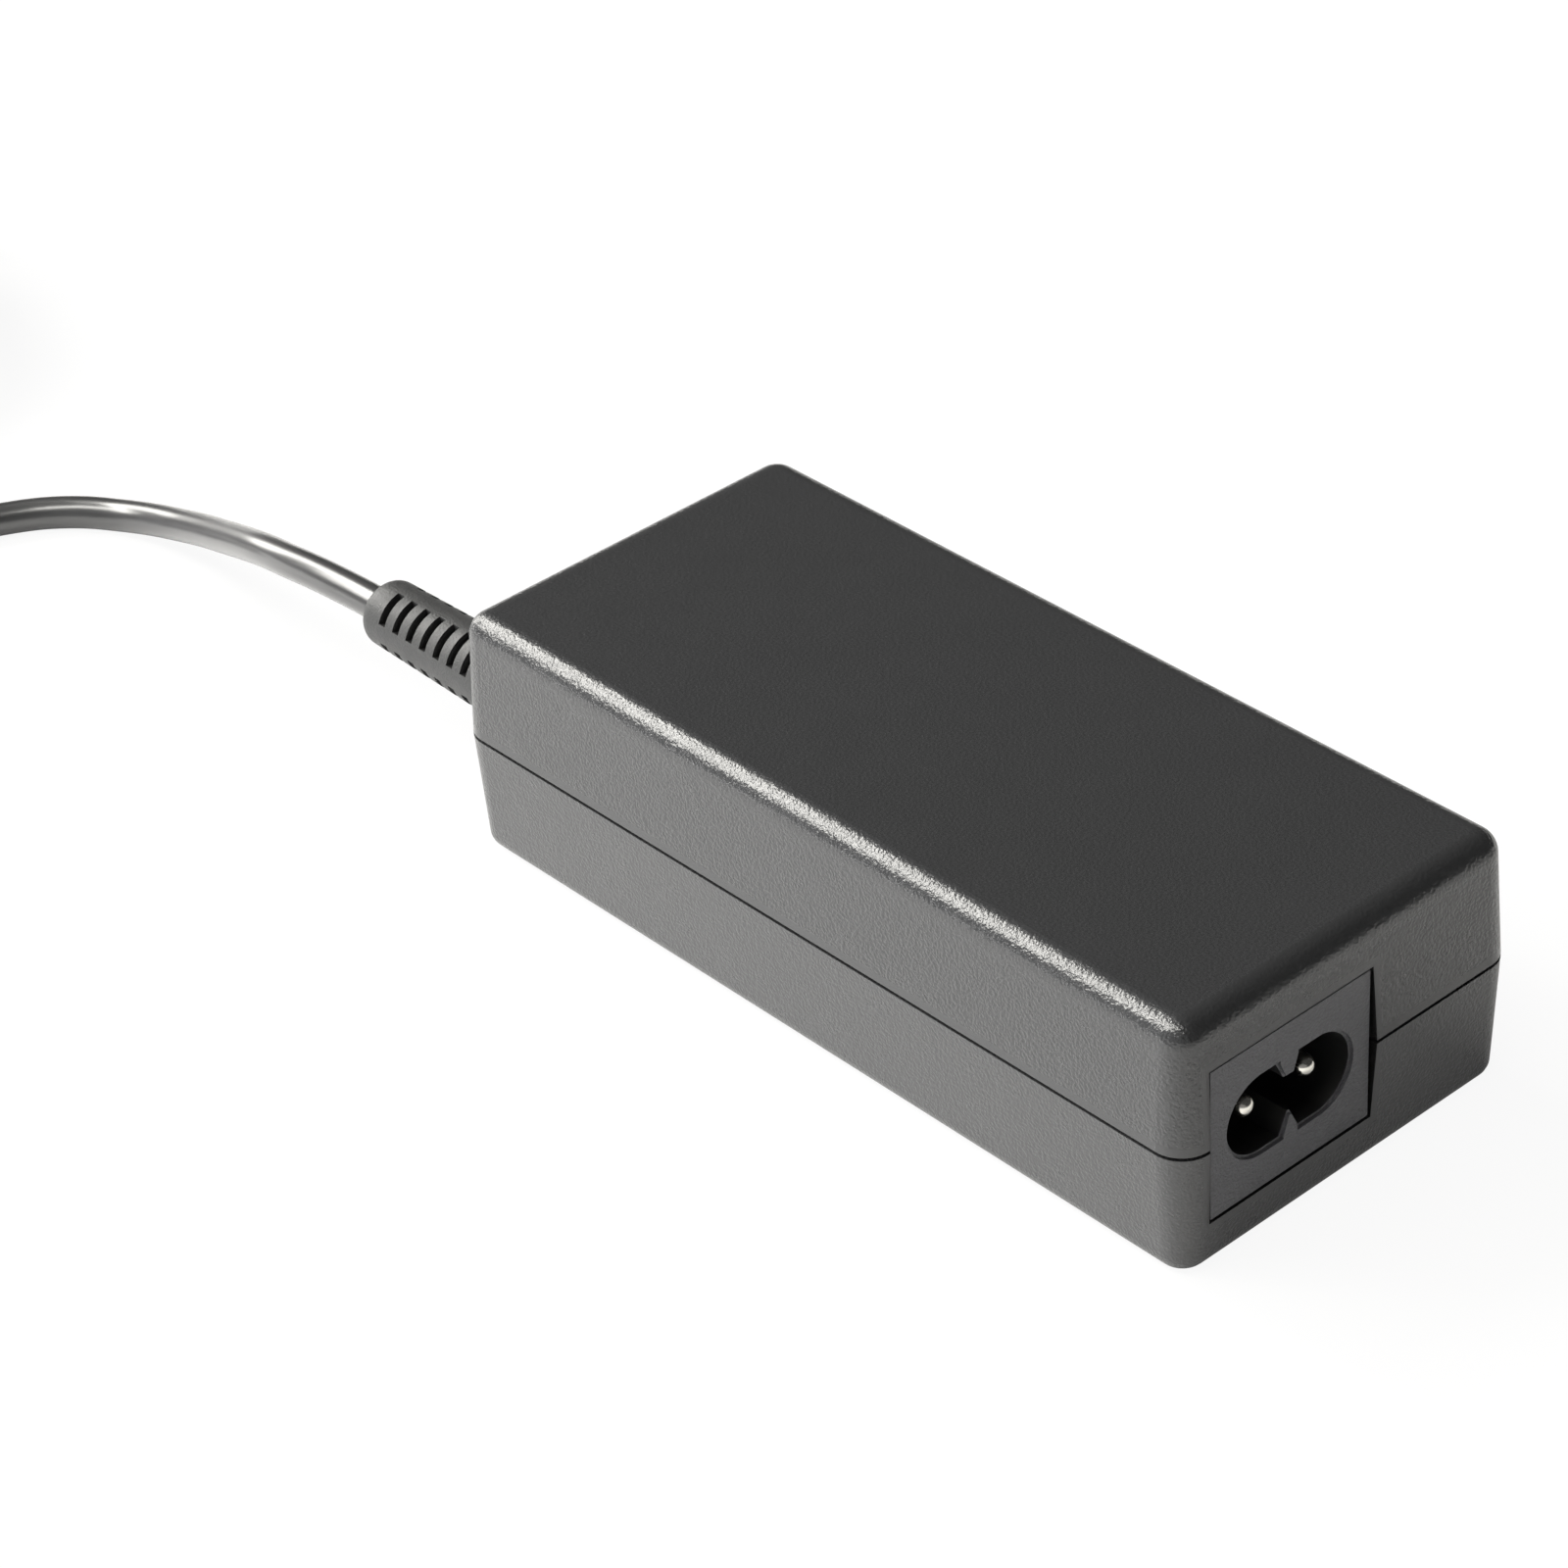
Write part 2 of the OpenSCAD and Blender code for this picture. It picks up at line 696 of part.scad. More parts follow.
// Space for the inlet's face through the front walls. Its sides are drafted in
// both shells, so it is widest at the parting plane
module inlet_window(grow)
{
    w = inlet_face_w / 2 + grow;
    h = inlet_face_h / 2 + grow;
    along_y(inlet_x, -half_l - over, inlet_z)
        linear_extrude(inlet_seat_y + half_l + 2 * over)
            mirror([0, 1, 0])
                polygon([
                    [-w, -h], [w, -h], [w + window_spread, inlet_drop],
                    [w, h], [-w, h], [-w - window_spread, inlet_drop]
                ]);
}

// Space for the cable relief through the rear walls
module relief_window()
{
    along_y(relief_x, relief_seat_y - relief_gap, parting_z)
        cylinder(d = relief_d + 2 * relief_gap, h = relief_seat + 2 * over);
    neck = neck_w + 2 * relief_gap;
    translate([relief_x - neck / 2, relief_pad_y - over, parting_z - neck / 2])
        cube([neck, half_l - relief_pad_y, neck]);
}

// Hollow of either shell, without the upright pads that carry the inlet and
// the cable relief, which both reach to the side wall on their left. It opens
// at the parting plane and points along +Z
module hollow(height)
{
    difference() {
        drafted_block(
            case_w - 2 * wall, case_l - 2 * wall, height - wall,
            corner_r - wall, inner_edge_r
        );
        translate([-half_w, -half_l, 0])
            cube([
                half_w + inlet_x + inlet_flange_w / 2 + over,
                inlet_seat_y + half_l,
                inlet_flange_h / 2 + over
            ]);
        translate([-half_w, relief_pad_y, 0])
            cube([
                half_w + relief_x + relief_pad_w / 2,
                half_l - relief_pad_y,
                relief_pad_w / 2
            ]);
    }
}

// Rib behind the inlet's flange, from one height to another
module inlet_stop(z0, z1)
{
    standing_box(
        inlet_x, inlet_stop_y + inlet_stop_t / 2, z0,
        [inlet_stop_w, inlet_stop_t, z1 - z0]
    );
}

// Slice across the whole case that leaves the seam open
module seam_cut(z)
{
    standing_box(0, 0, z, [case_w + 2 * over, case_l + 2 * over, over]);
}

module bottom_shell()
{
    color(shell_black)
    difference() {
        union() {
            difference() {
                translate([0, 0, parting_z]) mirror([0, 0, 1])
                    drafted_block(case_w, case_l, parting_z, corner_r, base_edge_r);
                translate([0, 0, parting_z]) mirror([0, 0, 1])
                    hollow(parting_z);
                seam_cut(parting_z - seam_gap / 2);
            }
            tongue();
            for (sx = [-1, 1], y = [post_y0, post_y1]) {
                upright(sx * post_x, y, floor_z - rib_sunk, post_d, board_lift + rib_sunk);
                upright(sx * post_x, y, floor_z, peg_d, board_lift + peg_h);
            }
            inlet_stop(floor_z - rib_sunk, board_top - inlet_stop_gap);
        }
        inlet_window(inlet_gap);
        relief_window();
    }
}

// The tongue stands on the inner half of the bottom shell's wall
module tongue()
{
    root = parting_z - seam_gap / 2 - over;
    grow = 2 * (tongue_t - wall);
    difference() {
        translate([0, 0, root])
            rounded_prism(
                case_w + grow, case_l + grow, corner_r - wall + tongue_t,
                parting_z + tongue_h - root
            );
        translate([0, 0, root - over])
            rounded_prism(
                case_w - 2 * wall, case_l - 2 * wall, corner_r - wall,
                tongue_h + 4 * over
            );
    }
}

module top_shell()
{
    groove = 2 * (tongue_t + tongue_gap - wall);
    color(shell_black)
    difference() {
        union() {
            difference() {
                translate([0, 0, parting_z])
                    drafted_block(case_w, case_l, top_h, corner_r, top_edge_r);
                translate([0, 0, parting_z])
                    hollow(top_h);
                seam_cut(parting_z + seam_gap / 2 - over);
                translate([0, 0, parting_z - over])
                    rounded_prism(
                        case_w + groove, case_l + groove,
                        corner_r - wall + tongue_t + tongue_gap,
                        tongue_h + over
                    );
            }
            for (y = [post_y0, post_y1])
                upright(
                    post_x, y, board_top + hold_gap,
                    post_d, ceiling_z - board_top - hold_gap + rib_sunk
                );
            inlet_stop(inlet_body_top + inlet_stop_gap, ceiling_z + rib_sunk);
        }
        inlet_window(inlet_gap);
        relief_window();
    }
}

// -------------------------------------------------------- the mains inlet

// Key that narrows from its root at the edge of the socket to its tip
module socket_key(root, tip, reach, grow)
{
    polygon([
        [root[0] + grow, lobe_r + grow + over],
        [root[0] + grow, lobe_r],
        [tip[0], lobe_r - reach + grow],
        [tip[1], lobe_r - reach + grow],
        [root[1] - grow, lobe_r],
        [root[1] - grow, lobe_r + grow + over]
    ]);
}

// Outline of the socket: two lobes with a key between them above and below
module socket_outline(grow)
{
    difference() {
        union() {
            for (side = [-1, 1])
                translate([side * lobe_pitch / 2, 0]) circle(lobe_r + grow);
            square([lobe_pitch, 2 * (lobe_r + grow)], center = true);
        }
        socket_key(upper_key_root, upper_key_tip, upper_key, grow);
        mirror([0, 1, 0])
            socket_key(lower_key_root, lower_key_tip, lower_key, grow);
    }
}

module inlet_body()
{
    color([0.15, 0.15, 0.16])
    difference() {
        union() {
            standing_box(
                inlet_x, (inlet_face_y + inlet_flange_back_y) / 2,
                inlet_z - inlet_face_h / 2,
                [inlet_face_w, inlet_flange_back_y - inlet_face_y, inlet_face_h]
            );
            standing_box(
                inlet_x, (inlet_seat_y + inlet_flange_back_y) / 2,
                inlet_z - inlet_flange_h / 2,
                [inlet_flange_w, inlet_flange_t, inlet_flange_h]
            );
            standing_box(
                inlet_x, (inlet_flange_back_y + inlet_back_y) / 2, board_top,
                [
                    inlet_body_w,
                    inlet_back_y - inlet_flange_back_y,
                    inlet_body_top - board_top
                ]
            );
        }
        along_y(inlet_x, inlet_face_y - over, inlet_z)
            mirror([0, 1, 0])
                linear_extrude(socket_depth + over) socket_outline(0);
        along_y(inlet_x, inlet_face_y - over, inlet_z)
            mirror([0, 1, 0])
                linear_extrude(over + mouth_flare) socket_outline(mouth_flare);
        for (side = [-1, 1])
            along_y(inlet_x + side * pin_pitch / 2, inlet_face_y, inlet_z)
                cylinder(d = pin_root_d + 2 * insert_gap, h = inlet_depth + over);
    }
}

// Round pin with a domed tip, seated on the floor of the socket. Its thinner
// root runs through the body, and a flat tail bends down to the board
module inlet_pin(side)
{
    x = inlet_x + side * pin_pitch / 2;
    dome = pin_setback + pin_r;
    along_y(x, inlet_face_y + dome, inlet_z) {
        sphere(pin_r);
        cylinder(r = pin_r, h = socket_depth - dome);
        cylinder(d = pin_root_d, h = inlet_depth - dome + pin_tail_t);
    }
    standing_box(
        x, inlet_back_y + pin_tail_t / 2, board_top,
        [pin_tail_w, pin_tail_t, inlet_z - board_top]
    );
}

module inlet_pin_left()
{
    color([0.78, 0.77, 0.74]) inlet_pin(-1);
}

module inlet_pin_right()
{
    color([0.78, 0.77, 0.74]) inlet_pin(1);
}

// ------------------------------------------------------ board and sheet

module main_board()
{
    color([0.2, 0.36, 0.22])
    difference() {
        standing_box(0, (board_y0 + board_y1) / 2, board_z, [board_w, board_l, board_t]);
        for (sx = [-1, 1], y = [post_y0, post_y1])
            upright(
                sx * post_x, y, board_z - over,
                peg_d + 2 * peg_gap, board_t + 2 * over
            );
    }
}

// Outline of a channel's solid: square above, rounded below
module channel_outline(half, r, h)
{
    for (side = [-1, 1])
        translate([side * (half - r), r]) circle(r);
    translate([r - half, 0]) square([2 * (half - r), h]);
    translate([-half, r]) square([2 * half, h - r]);
}

// Sheet folded into a channel round the board
module insulating_sheet()
{
    l = relief_flange_y0 - part_gap - board_y0;
    h = sink_top - floor_z - part_gap;
    fold_r = inner_edge_r + sheet_gap;
    color([0.86, 0.84, 0.78, 0.7])
    difference() {
        along_y(0, board_y0, floor_z)
            mirror([0, 1, 0])
                linear_extrude(l)
                    difference() {
                        channel_outline(sheet_half_w, fold_r, h);
                        translate([0, sheet_t])
                            channel_outline(sheet_half_w - sheet_t, fold_r - sheet_t, h);
                    }
        for (sx = [-1, 1], y = [post_y0, post_y1])
            upright(
                sx * post_x, y, floor_z - over,
                post_d + 2 * sheet_gap, sheet_t + 2 * over
            );
    }
}

// ---------------------------------------------------- input components

module input_fuse()
{
    color([0.45, 0.16, 0.12]) upright(fuse_x, fuse_y, board_top, fuse_d, fuse_h);
}

module disc_part(x, y, d, t, lift)
{
    for (side = [-1, 1])
        upright(x, y + side * d / 4, board_top, lead_d, lift + d / 4);
    translate([x - t / 2, y, board_top + lift + d / 2])
        rotate([0, 90, 0])
            cylinder(d = d, h = t);
}

module surge_absorber()
{
    color([0.15, 0.25, 0.5])
        disc_part(varistor_x, varistor_y, varistor_d, varistor_t, varistor_lift);
}

module isolation_capacitor()
{
    color([0.2, 0.35, 0.6])
        translate([y_cap_x, y_cap_y, 0]) rotate([0, 0, 90])
            disc_part(0, 0, y_cap_d, y_cap_t, varistor_lift);
}

module interference_capacitor()
{
    color([0.75, 0.7, 0.35])
        standing_box(
            x_cap_x, x_cap_y0 + x_cap_t / 2, board_top,
            [x_cap_w, x_cap_t, x_cap_h]
        );
}

// Ring core on edge, standing on a thin base
module line_choke_core()
{
    color([0.2, 0.2, 0.21]) {
        along_y(choke_x, choke_y - choke_t / 2, choke_z)
            difference() {
                cylinder(d = choke_d, h = choke_t);
                translate([0, 0, -over]) cylinder(d = choke_hole, h = choke_t + 2 * over);
            }
        standing_box(
            choke_x, choke_y, board_top,
            [choke_base_w, choke_t, choke_base_h + choke_wind + choke_base_sunk]
        );
    }
}

// Section of the winding: grown from the ring's section, which it wraps
module choke_section(grow)
{
    translate([choke_hole / 2 - grow, -choke_t / 2 - grow])
        square([(choke_d - choke_hole) / 2 + 2 * grow, choke_t + 2 * grow]);
}

// Winding over one side of the ring
module line_choke_winding(start)
{
    along_y(choke_x, choke_y, choke_z)
        rotate([0, 0, start])
            rotate_extrude(angle = choke_wind_angle)
                difference() {
                    choke_section(choke_wind);
                    choke_section(choke_wind_gap);
                }
}

module line_choke_winding_left()
{
    color([0.6, 0.3, 0.12]) line_choke_winding(180 - choke_wind_angle / 2);
}

module line_choke_winding_right()
{
    color([0.6, 0.3, 0.12]) line_choke_winding(-choke_wind_angle / 2);
}

module bridge_rectifier()
{
    pitch = bridge_w / 4;
    color([0.12, 0.12, 0.12]) {
        standing_box(
            x_cap_x, bridge_y0 + bridge_t / 2, board_top + bridge_lead_h,
            [bridge_w, bridge_t, bridge_h]
        );
        for (i = [0:3])
            upright(
                x_cap_x + (i - 1.5) * pitch, bridge_y0 + bridge_t / 2, board_top,
                lead_d, bridge_lead_h + over
            );
    }
}

// Can with a rolled groove near its sealed end, drawn along +Z
module capacitor_can(d, h)
{
    difference() {
        cylinder(d = d, h = h);
        translate([0, 0, can_groove_z * d])
            rotate_extrude()
                translate([d / 2, 0]) circle(can_groove_r * d);
    }
}

// The can lies on its side on a bed of glue
module reservoir_capacitor()
{
    color([0.1, 0.16, 0.3]) {
        along_y(bulk_x, bulk_y0, bulk_z)
            capacitor_can(bulk_d, bulk_l);
        standing_box(
            bulk_x, bulk_y0 + bulk_l / 2, board_top,
            [bulk_d / 2, bulk_l / 2, bulk_d / 8]
        );
    }
}

// ---------------------------------------------------- power components

// Upright plate with a flange folded inwards at the top
module heat_sink(y0)
{
    difference() {
        union() {
            translate([sink_x, y0, board_top])
                cube([sink_t, sink_l, sink_top - board_top]);
            translate([sink_side_x - sink_flange, y0, sink_top - sink_t])
                cube([sink_flange, sink_l, sink_t]);
        }
        along_x(sink_x - over, y0 + sink_l / 2, screw_z)
            cylinder(d = screw_hole_d, h = sink_t + 2 * over);
    }
}

// Three-legged power package whose metal tab lies on a heat sink
module power_package(y)
{
    x = sink_x - package_t;
    z = board_top + package_lift;
    difference() {
        union() {
            translate([x, y - package_w / 2, z])
                cube([package_t, package_w, package_body_h]);
            translate([sink_x - package_tab_t, y - package_w / 2, z])
                cube([package_tab_t, package_w, package_body_h + package_tab_h]);
        }
        along_x(x - over, y, screw_z)
            cylinder(d = package_hole_d, h = package_t + 2 * over);
    }
    for (i = [-1:1])
        standing_box(
            sink_x - package_t / 2, y + i * package_lead_pitch, board_top,
            [package_lead_t, lead_d, package_lift + over / 2]
        );
}

module package_screw(y)
{
    head_x = sink_x - package_tab_t - screw_head_t;
    along_x(head_x, y, screw_z) {
        cylinder(d = screw_head_d, h = screw_head_t);
        cylinder(d = screw_d, h = screw_head_t + package_tab_t + sink_t);
    }
}

module input_heat_sink()
{
    color([0.7, 0.71, 0.73]) heat_sink(sink_in_y0);
}

module output_heat_sink()
{
    color([0.7, 0.71, 0.73]) heat_sink(sink_out_y0);
}

module switching_transistor()
{
    color([0.16, 0.16, 0.17]) power_package(transistor_y);
}

module output_rectifier()
{
    color([0.16, 0.16, 0.17]) power_package(rectifier_y);
}

module transistor_screw()
{
    color([0.8, 0.8, 0.8]) package_screw(transistor_y);
}

module rectifier_screw()
{
    color([0.8, 0.8, 0.8]) package_screw(rectifier_y);
}

module start_capacitor()
{
    color([0.12, 0.12, 0.25])
        upright(start_cap_x, start_cap_y, board_top, start_cap_d, start_cap_h);
}

module optocoupler()
{
    color([0.85, 0.85, 0.82])
        standing_box(opto_x, opto_y, board_top, [opto_w, opto_l, opto_h]);
}

module control_chip()
{
    color([0.1, 0.1, 0.1]) {
        standing_box(opto_x, opto_y, board_z - chip_size.z, chip_size);
        for (side = [-1, 1], i = [0:chip_legs - 1])
            standing_box(
                opto_x + side * (chip_size.x + chip_leg.x / 2) / 2,
                opto_y + (i - (chip_legs - 1) / 2) * chip_leg_pitch,
                board_z - chip_leg.z,
                chip_leg
            );
    }
}

module small_chip_parts()
{
    color([0.55, 0.45, 0.35])
        for (i = [0:chip_part_rows.x - 1], j = [0:chip_part_rows.y - 1])
            standing_box(
                bulk_x + i * chip_part_pitch.x,
                bulk_y0 + chip_part_inset + j * chip_part_pitch.y,
                board_z - chip_part.z,
                chip_part
            );
}

// One half of the transformer's core: a back with three legs
module core_half()
{
    h = core_h / 2;
    side_window = (core_w - core_mid) / 2 - core_leg;
    difference() {
        translate([-core_w / 2, -core_t / 2, 0]) cube([core_w, core_t, h]);
        for (side = [-1, 1])
            translate([
                side * (core_mid + side_window) / 2 - side_window / 2,
                -core_t / 2 - over,
                core_leg
            ])
                cube([side_window, core_t + 2 * over, h]);
    }
}

module transformer_lower_core()
{
    color([0.22, 0.22, 0.23])
        translate([transformer_x, transformer_y, core_z]) core_half();
}

module transformer_upper_core()
{
    color([0.22, 0.22, 0.23])
        translate([transformer_x, transformer_y, core_z + core_h])
            mirror([0, 0, 1]) core_half();
}

bobbin_w = core_mid + 2 * (core_gap + bobbin_t);
bobbin_l = core_t + 2 * (core_gap + bobbin_t);
bobbin_flange_w = core_w - 2 * core_leg - 2 * core_gap;
bobbin_foot = 3;
// The winding stays inside the bobbin's flanges, with round corners
winding_inset = 0.35;
winding_corner_r = 3;

// Sleeve round the middle leg with a flange at each end and a rail of feet
module transformer_bobbin()
{
    z0 = core_z + core_leg;
    h = core_h - 2 * core_leg - core_gap;
    color([0.82, 0.8, 0.72])
    translate([transformer_x, transformer_y, 0])
    difference() {
        union() {
            standing_box(0, 0, z0, [bobbin_w, bobbin_l, h]);
            for (z = [z0, z0 + h - bobbin_t])
                standing_box(0, 0, z, [bobbin_flange_w, transformer_l, bobbin_t]);
            for (side = [-1, 1])
                standing_box(
                    0, side * (transformer_l - bobbin_foot) / 2, board_top,
                    [bobbin_flange_w, bobbin_foot, z0 + bobbin_t - board_top]
                );
        }
        standing_box(
            0, 0, z0 - over,
            [core_mid + 2 * core_gap, core_t + 2 * core_gap, h + 2 * over]
        );
    }
}

module transformer_winding()
{
    z0 = core_z + core_leg + bobbin_t;
    h = core_h - 2 * core_leg - core_gap - 2 * bobbin_t;
    w = bobbin_flange_w - 2 * winding_inset;
    l = transformer_l - 2 * winding_inset;
    color([0.85, 0.7, 0.2])
    translate([transformer_x, transformer_y, z0])
    difference() {
        rounded_prism(w, l, winding_corner_r, h);
        standing_box(0, 0, -over, [bobbin_w, bobbin_l, h + 2 * over]);
    }
}

// --------------------------------------------------- output components

module output_capacitor(x)
{
    translate([x, out_cap_y, board_top])
        capacitor_can(out_cap_d, out_cap_h);
}

module output_capacitor_left()
{
    color([0.1, 0.2, 0.16]) output_capacitor(out_cap_x_left);
}

module output_capacitor_right()
{
    color([0.1, 0.2, 0.16]) output_capacitor(out_cap_x_right);
}

module output_choke()
{
    color([0.25, 0.25, 0.26])
        upright(out_choke_x, out_choke_y, board_top, out_choke_d, out_choke_h);
}

// Pad on the flange of a heat sink, set in from its edges
module heat_pad(y0)
{
    inset = 1;
    translate([sink_side_x - sink_flange + inset, y0 + inset, sink_top])
        cube([sink_flange - 2 * inset, sink_l - 2 * inset, pad_t]);
}

module input_heat_pad()
{
    color([0.75, 0.55, 0.6]) heat_pad(sink_in_y0);
}

module output_heat_pad()
{
    color([0.75, 0.55, 0.6]) heat_pad(sink_out_y0);
}

// Plate under the roof of the case with one long side folded down
module heat_spreader()
{
    color([0.72, 0.73, 0.75]) {
        translate([spreader_x0, x_cap_y0, spreader_z])
            cube([2 * sink_side_x, sink_out_y1 - x_cap_y0, spreader_t]);
        translate([spreader_x0, bulk_y0, spreader_z - spreader_fold])
            cube([spreader_fold_t, transformer_y0 - bulk_y0, spreader_fold]);
    }
}

// Wire that leaves the end of the cord and bends down to the board
module output_wire(side)
{
    x = relief_x + side * (wire_d + wire_gap) / 2;
    upright(
        x, cord_end_y - wire_bend_r, board_top,
        wire_d, parting_z - wire_bend_r - board_top
    );
    translate([x, cord_end_y, parting_z - wire_bend_r])
        rotate([90, 0, -90])
            rotate_extrude(angle = 90)
                translate([wire_bend_r, 0]) circle(d = wire_d);
}

module output_wire_positive()
{
    color([0.7, 0.12, 0.1]) output_wire(-1);
}

module output_wire_return()
{
    color([0.1, 0.1, 0.1]) output_wire(1);
}

// ------------------------------------------------ cable relief and cord

// Outline of the relief's outer body from the seat in the wall to the tip
module relief_outline()
{
    l = relief_tip_y - relief_seat_y;
    r0 = relief_d / 2;
    r1 = relief_tip_d / 2;
    r = relief_tip_r;
    intersection() {
        union() {
            polygon([[0, 0], [r0, 0], [r1, l - r], [r1 - r, l - r], [r1 - r, l], [0, l]]);
            translate([r1 - r, l - r]) circle(r);
        }
        square([r0, l]);
    }
}

module cable_relief()
{
    color([0.12, 0.12, 0.13])
    difference() {
        union() {
            along_y(relief_x, relief_seat_y, parting_z)
                rotate_extrude() relief_outline();
            along_y(relief_x, relief_flange_y0, parting_z)
                linear_extrude(relief_seat_y - relief_flange_y0 + over)
                    intersection() {
                        square(neck_w, center = true);
                        circle(d = relief_tip_d);
                    }
            along_y(relief_x, relief_flange_y0, parting_z)
                rounded_prism(
                    relief_flange_w, relief_flange_w, relief_flange_r, relief_flange_t
                );
        }
        along_y(relief_x, relief_flange_y0 - over, parting_z)
            cylinder(d = relief_bore_d, h = relief_tip_y - relief_flange_y0 + 2 * over);
        for (i = [0:slot_rings - 1], row = [0:slot_rows - 1])
            along_y(
                relief_x,
                relief_tip_y - slot_first - i * slot_pitch - slot_w / 2,
                parting_z
            )
                relief_slot(row);
    }
}

module relief_slot(row)
{
    angle = row % 2 == 0 ? slot_angle : slot_short_angle;
    rotate([0, 0, slot_row_turn + 90 * row - angle / 2])
        rotate_extrude(angle = angle)
            translate([relief_tip_d / 2 - slot_depth, 0])
                square([slot_depth + over, slot_w]);
}

cord_colour = [0.1, 0.1, 0.11];

module cord_inner_end()
{
    color(cord_colour)
        along_y(relief_x, cord_end_y, parting_z)
            cylinder(d = cord_d, h = relief_tip_y - cord_end_y);
}

module cord_lead()
{
    color(cord_colour) tube(concat(lead_points, lead_finish), cord_d, 8);
}

module cord_coil()
{
    color(cord_colour) tube(coil_points, cord_d, 6);
}

module cord_tail()
{
    color(cord_colour) tube(tail_points, cord_d, 8);
}

// Strap round one side of the coil
module coil_tie()
{
    inner_x = tie_reach - tie_gap;
    outer_x = coil_r + cord_d / 2 + tie_gap;
    w = outer_x - inner_x + 2 * tie_t;
    h = coil_top + tie_gap + tie_t;
    r = cord_d / 2 + tie_gap + tie_t;
    color([0.08, 0.08, 0.08])
    translate([coil_cx + (inner_x + outer_x) / 2, coil_cy, h / 2])
        rotate([90, 0, 0])
            linear_extrude(tie_w, center = true)
                difference() {
                    rounded_rectangle(w, h, r);
                    rounded_rectangle(w - 2 * tie_t, h - 2 * tie_t, r - tie_t);
                }
}

// ------------------------------------------------------- the output plug

contact_d = contact_bore + 2 * contact_wall;
sleeve_bore = barrel_d - 2 * sleeve_wall;
collar_d = barrel_d + 2 * sleeve_collar;
grip_groove_pitch = 2.4;
grip_groove_r = 0.6;
grip_grooves = 4;
contact_sunk = 0.5;
contact_l = sleeve_sunk + barrel_l - contact_sunk;

// Grip with finger grooves and a tapered boot, bored for the barrel
module plug_grip()
{
    grooves_l = (grip_grooves - 1) * grip_groove_pitch;
    color([0.12, 0.12, 0.13])
    along_x(plug_x, plug_y, plug_axis_z)
    difference() {
        union() {
            cylinder(d1 = boot_tip_d, d2 = grip_d - 2 * grip_edge_r, h = boot_l);
            translate([0, 0, boot_l])
                rotate_extrude()
                    grip_outline(grip_d / 2, grip_l, grip_edge_r);
        }
        for (i = [0:grip_grooves - 1])
            translate([
                0, 0,
                boot_l + (grip_l - grooves_l) / 2 + i * grip_groove_pitch
            ])
                rotate_extrude()
                    translate([grip_d / 2, 0]) circle(grip_groove_r);
        translate([0, 0, boot_l + grip_l - sleeve_sunk])
            cylinder(d = collar_d + 2 * insert_gap, h = sleeve_sunk + over);
    }
}

module grip_outline(r, l, edge)
{
    translate([0, edge]) square([r, l - 2 * edge]);
    square([r - edge, l]);
    for (y = [edge, l - edge])
        translate([r - edge, y]) circle(edge);
}

// Barrel with the collar that the grip is moulded round
module plug_sleeve()
{
    color([0.8, 0.8, 0.8])
    along_x(barrel_x - sleeve_sunk, plug_y, plug_axis_z)
        difference() {
            union() {
                cylinder(d = collar_d, h = sleeve_sunk);
                cylinder(d = barrel_d, h = sleeve_sunk + barrel_l);
            }
            translate([0, 0, -over])
                cylinder(d = sleeve_bore, h = sleeve_sunk + barrel_l + 2 * over);
        }
}

module plug_insulator()
{
    color([0.1, 0.1, 0.1])
    along_x(barrel_x - sleeve_sunk, plug_y, plug_axis_z)
        difference() {
            cylinder(d = sleeve_bore - 2 * insert_gap, h = sleeve_sunk + barrel_l);
            translate([0, 0, -over])
                cylinder(
                    d = contact_d + 2 * insert_gap,
                    h = sleeve_sunk + barrel_l + 2 * over
                );
        }
}

// Tube that takes the centre pin of the socket, closed at its back
module plug_contact()
{
    color([0.75, 0.7, 0.5])
    along_x(barrel_x - sleeve_sunk, plug_y, plug_axis_z)
        difference() {
            cylinder(d = contact_d, h = contact_l);
            translate([0, 0, contact_l - contact_depth])
                cylinder(d = contact_bore, h = contact_depth + over);
        }
}

// --------------------------------------------------------------- assembly

bottom_shell();
top_shell();
inlet_body();
inlet_pin_left();
inlet_pin_right();
insulating_sheet();
main_board();
input_fuse();
surge_absorber();
interference_capacitor();
line_choke_core();
line_choke_winding_left();
line_choke_winding_right();
bridge_rectifier();
reservoir_capacitor();
input_heat_sink();
switching_transistor();
transistor_screw();
start_capacitor();
isolation_capacitor();
optocoupler();
control_chip();
small_chip_parts();
transformer_lower_core();
transformer_upper_core();
transformer_bobbin();
transformer_winding();
output_heat_sink();
output_rectifier();
rectifier_screw();
output_capacitor_left();
output_capacitor_right();
output_choke();
input_heat_pad();
output_heat_pad();
heat_spreader();
output_wire_positive();
output_wire_return();
cable_relief();
cord_inner_end();
cord_lead();
cord_coil();
cord_tail();
coil_tie();
plug_grip();
plug_sleeve();
plug_insulator();
plug_contact();
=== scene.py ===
# %% [markdown]
# # A laptop power adapter
# The object is a black moulded case with a figure-eight mains inlet at one
# end. At the other end a cable relief lets out the output lead, which is
# wound up behind the case, tied, and ends in a round plug. The rigid pieces
# come from a CAD model and keep their places. This lesson gives them their
# finishes, and builds the soft pieces, which a CAD solid can only stand for.

import math

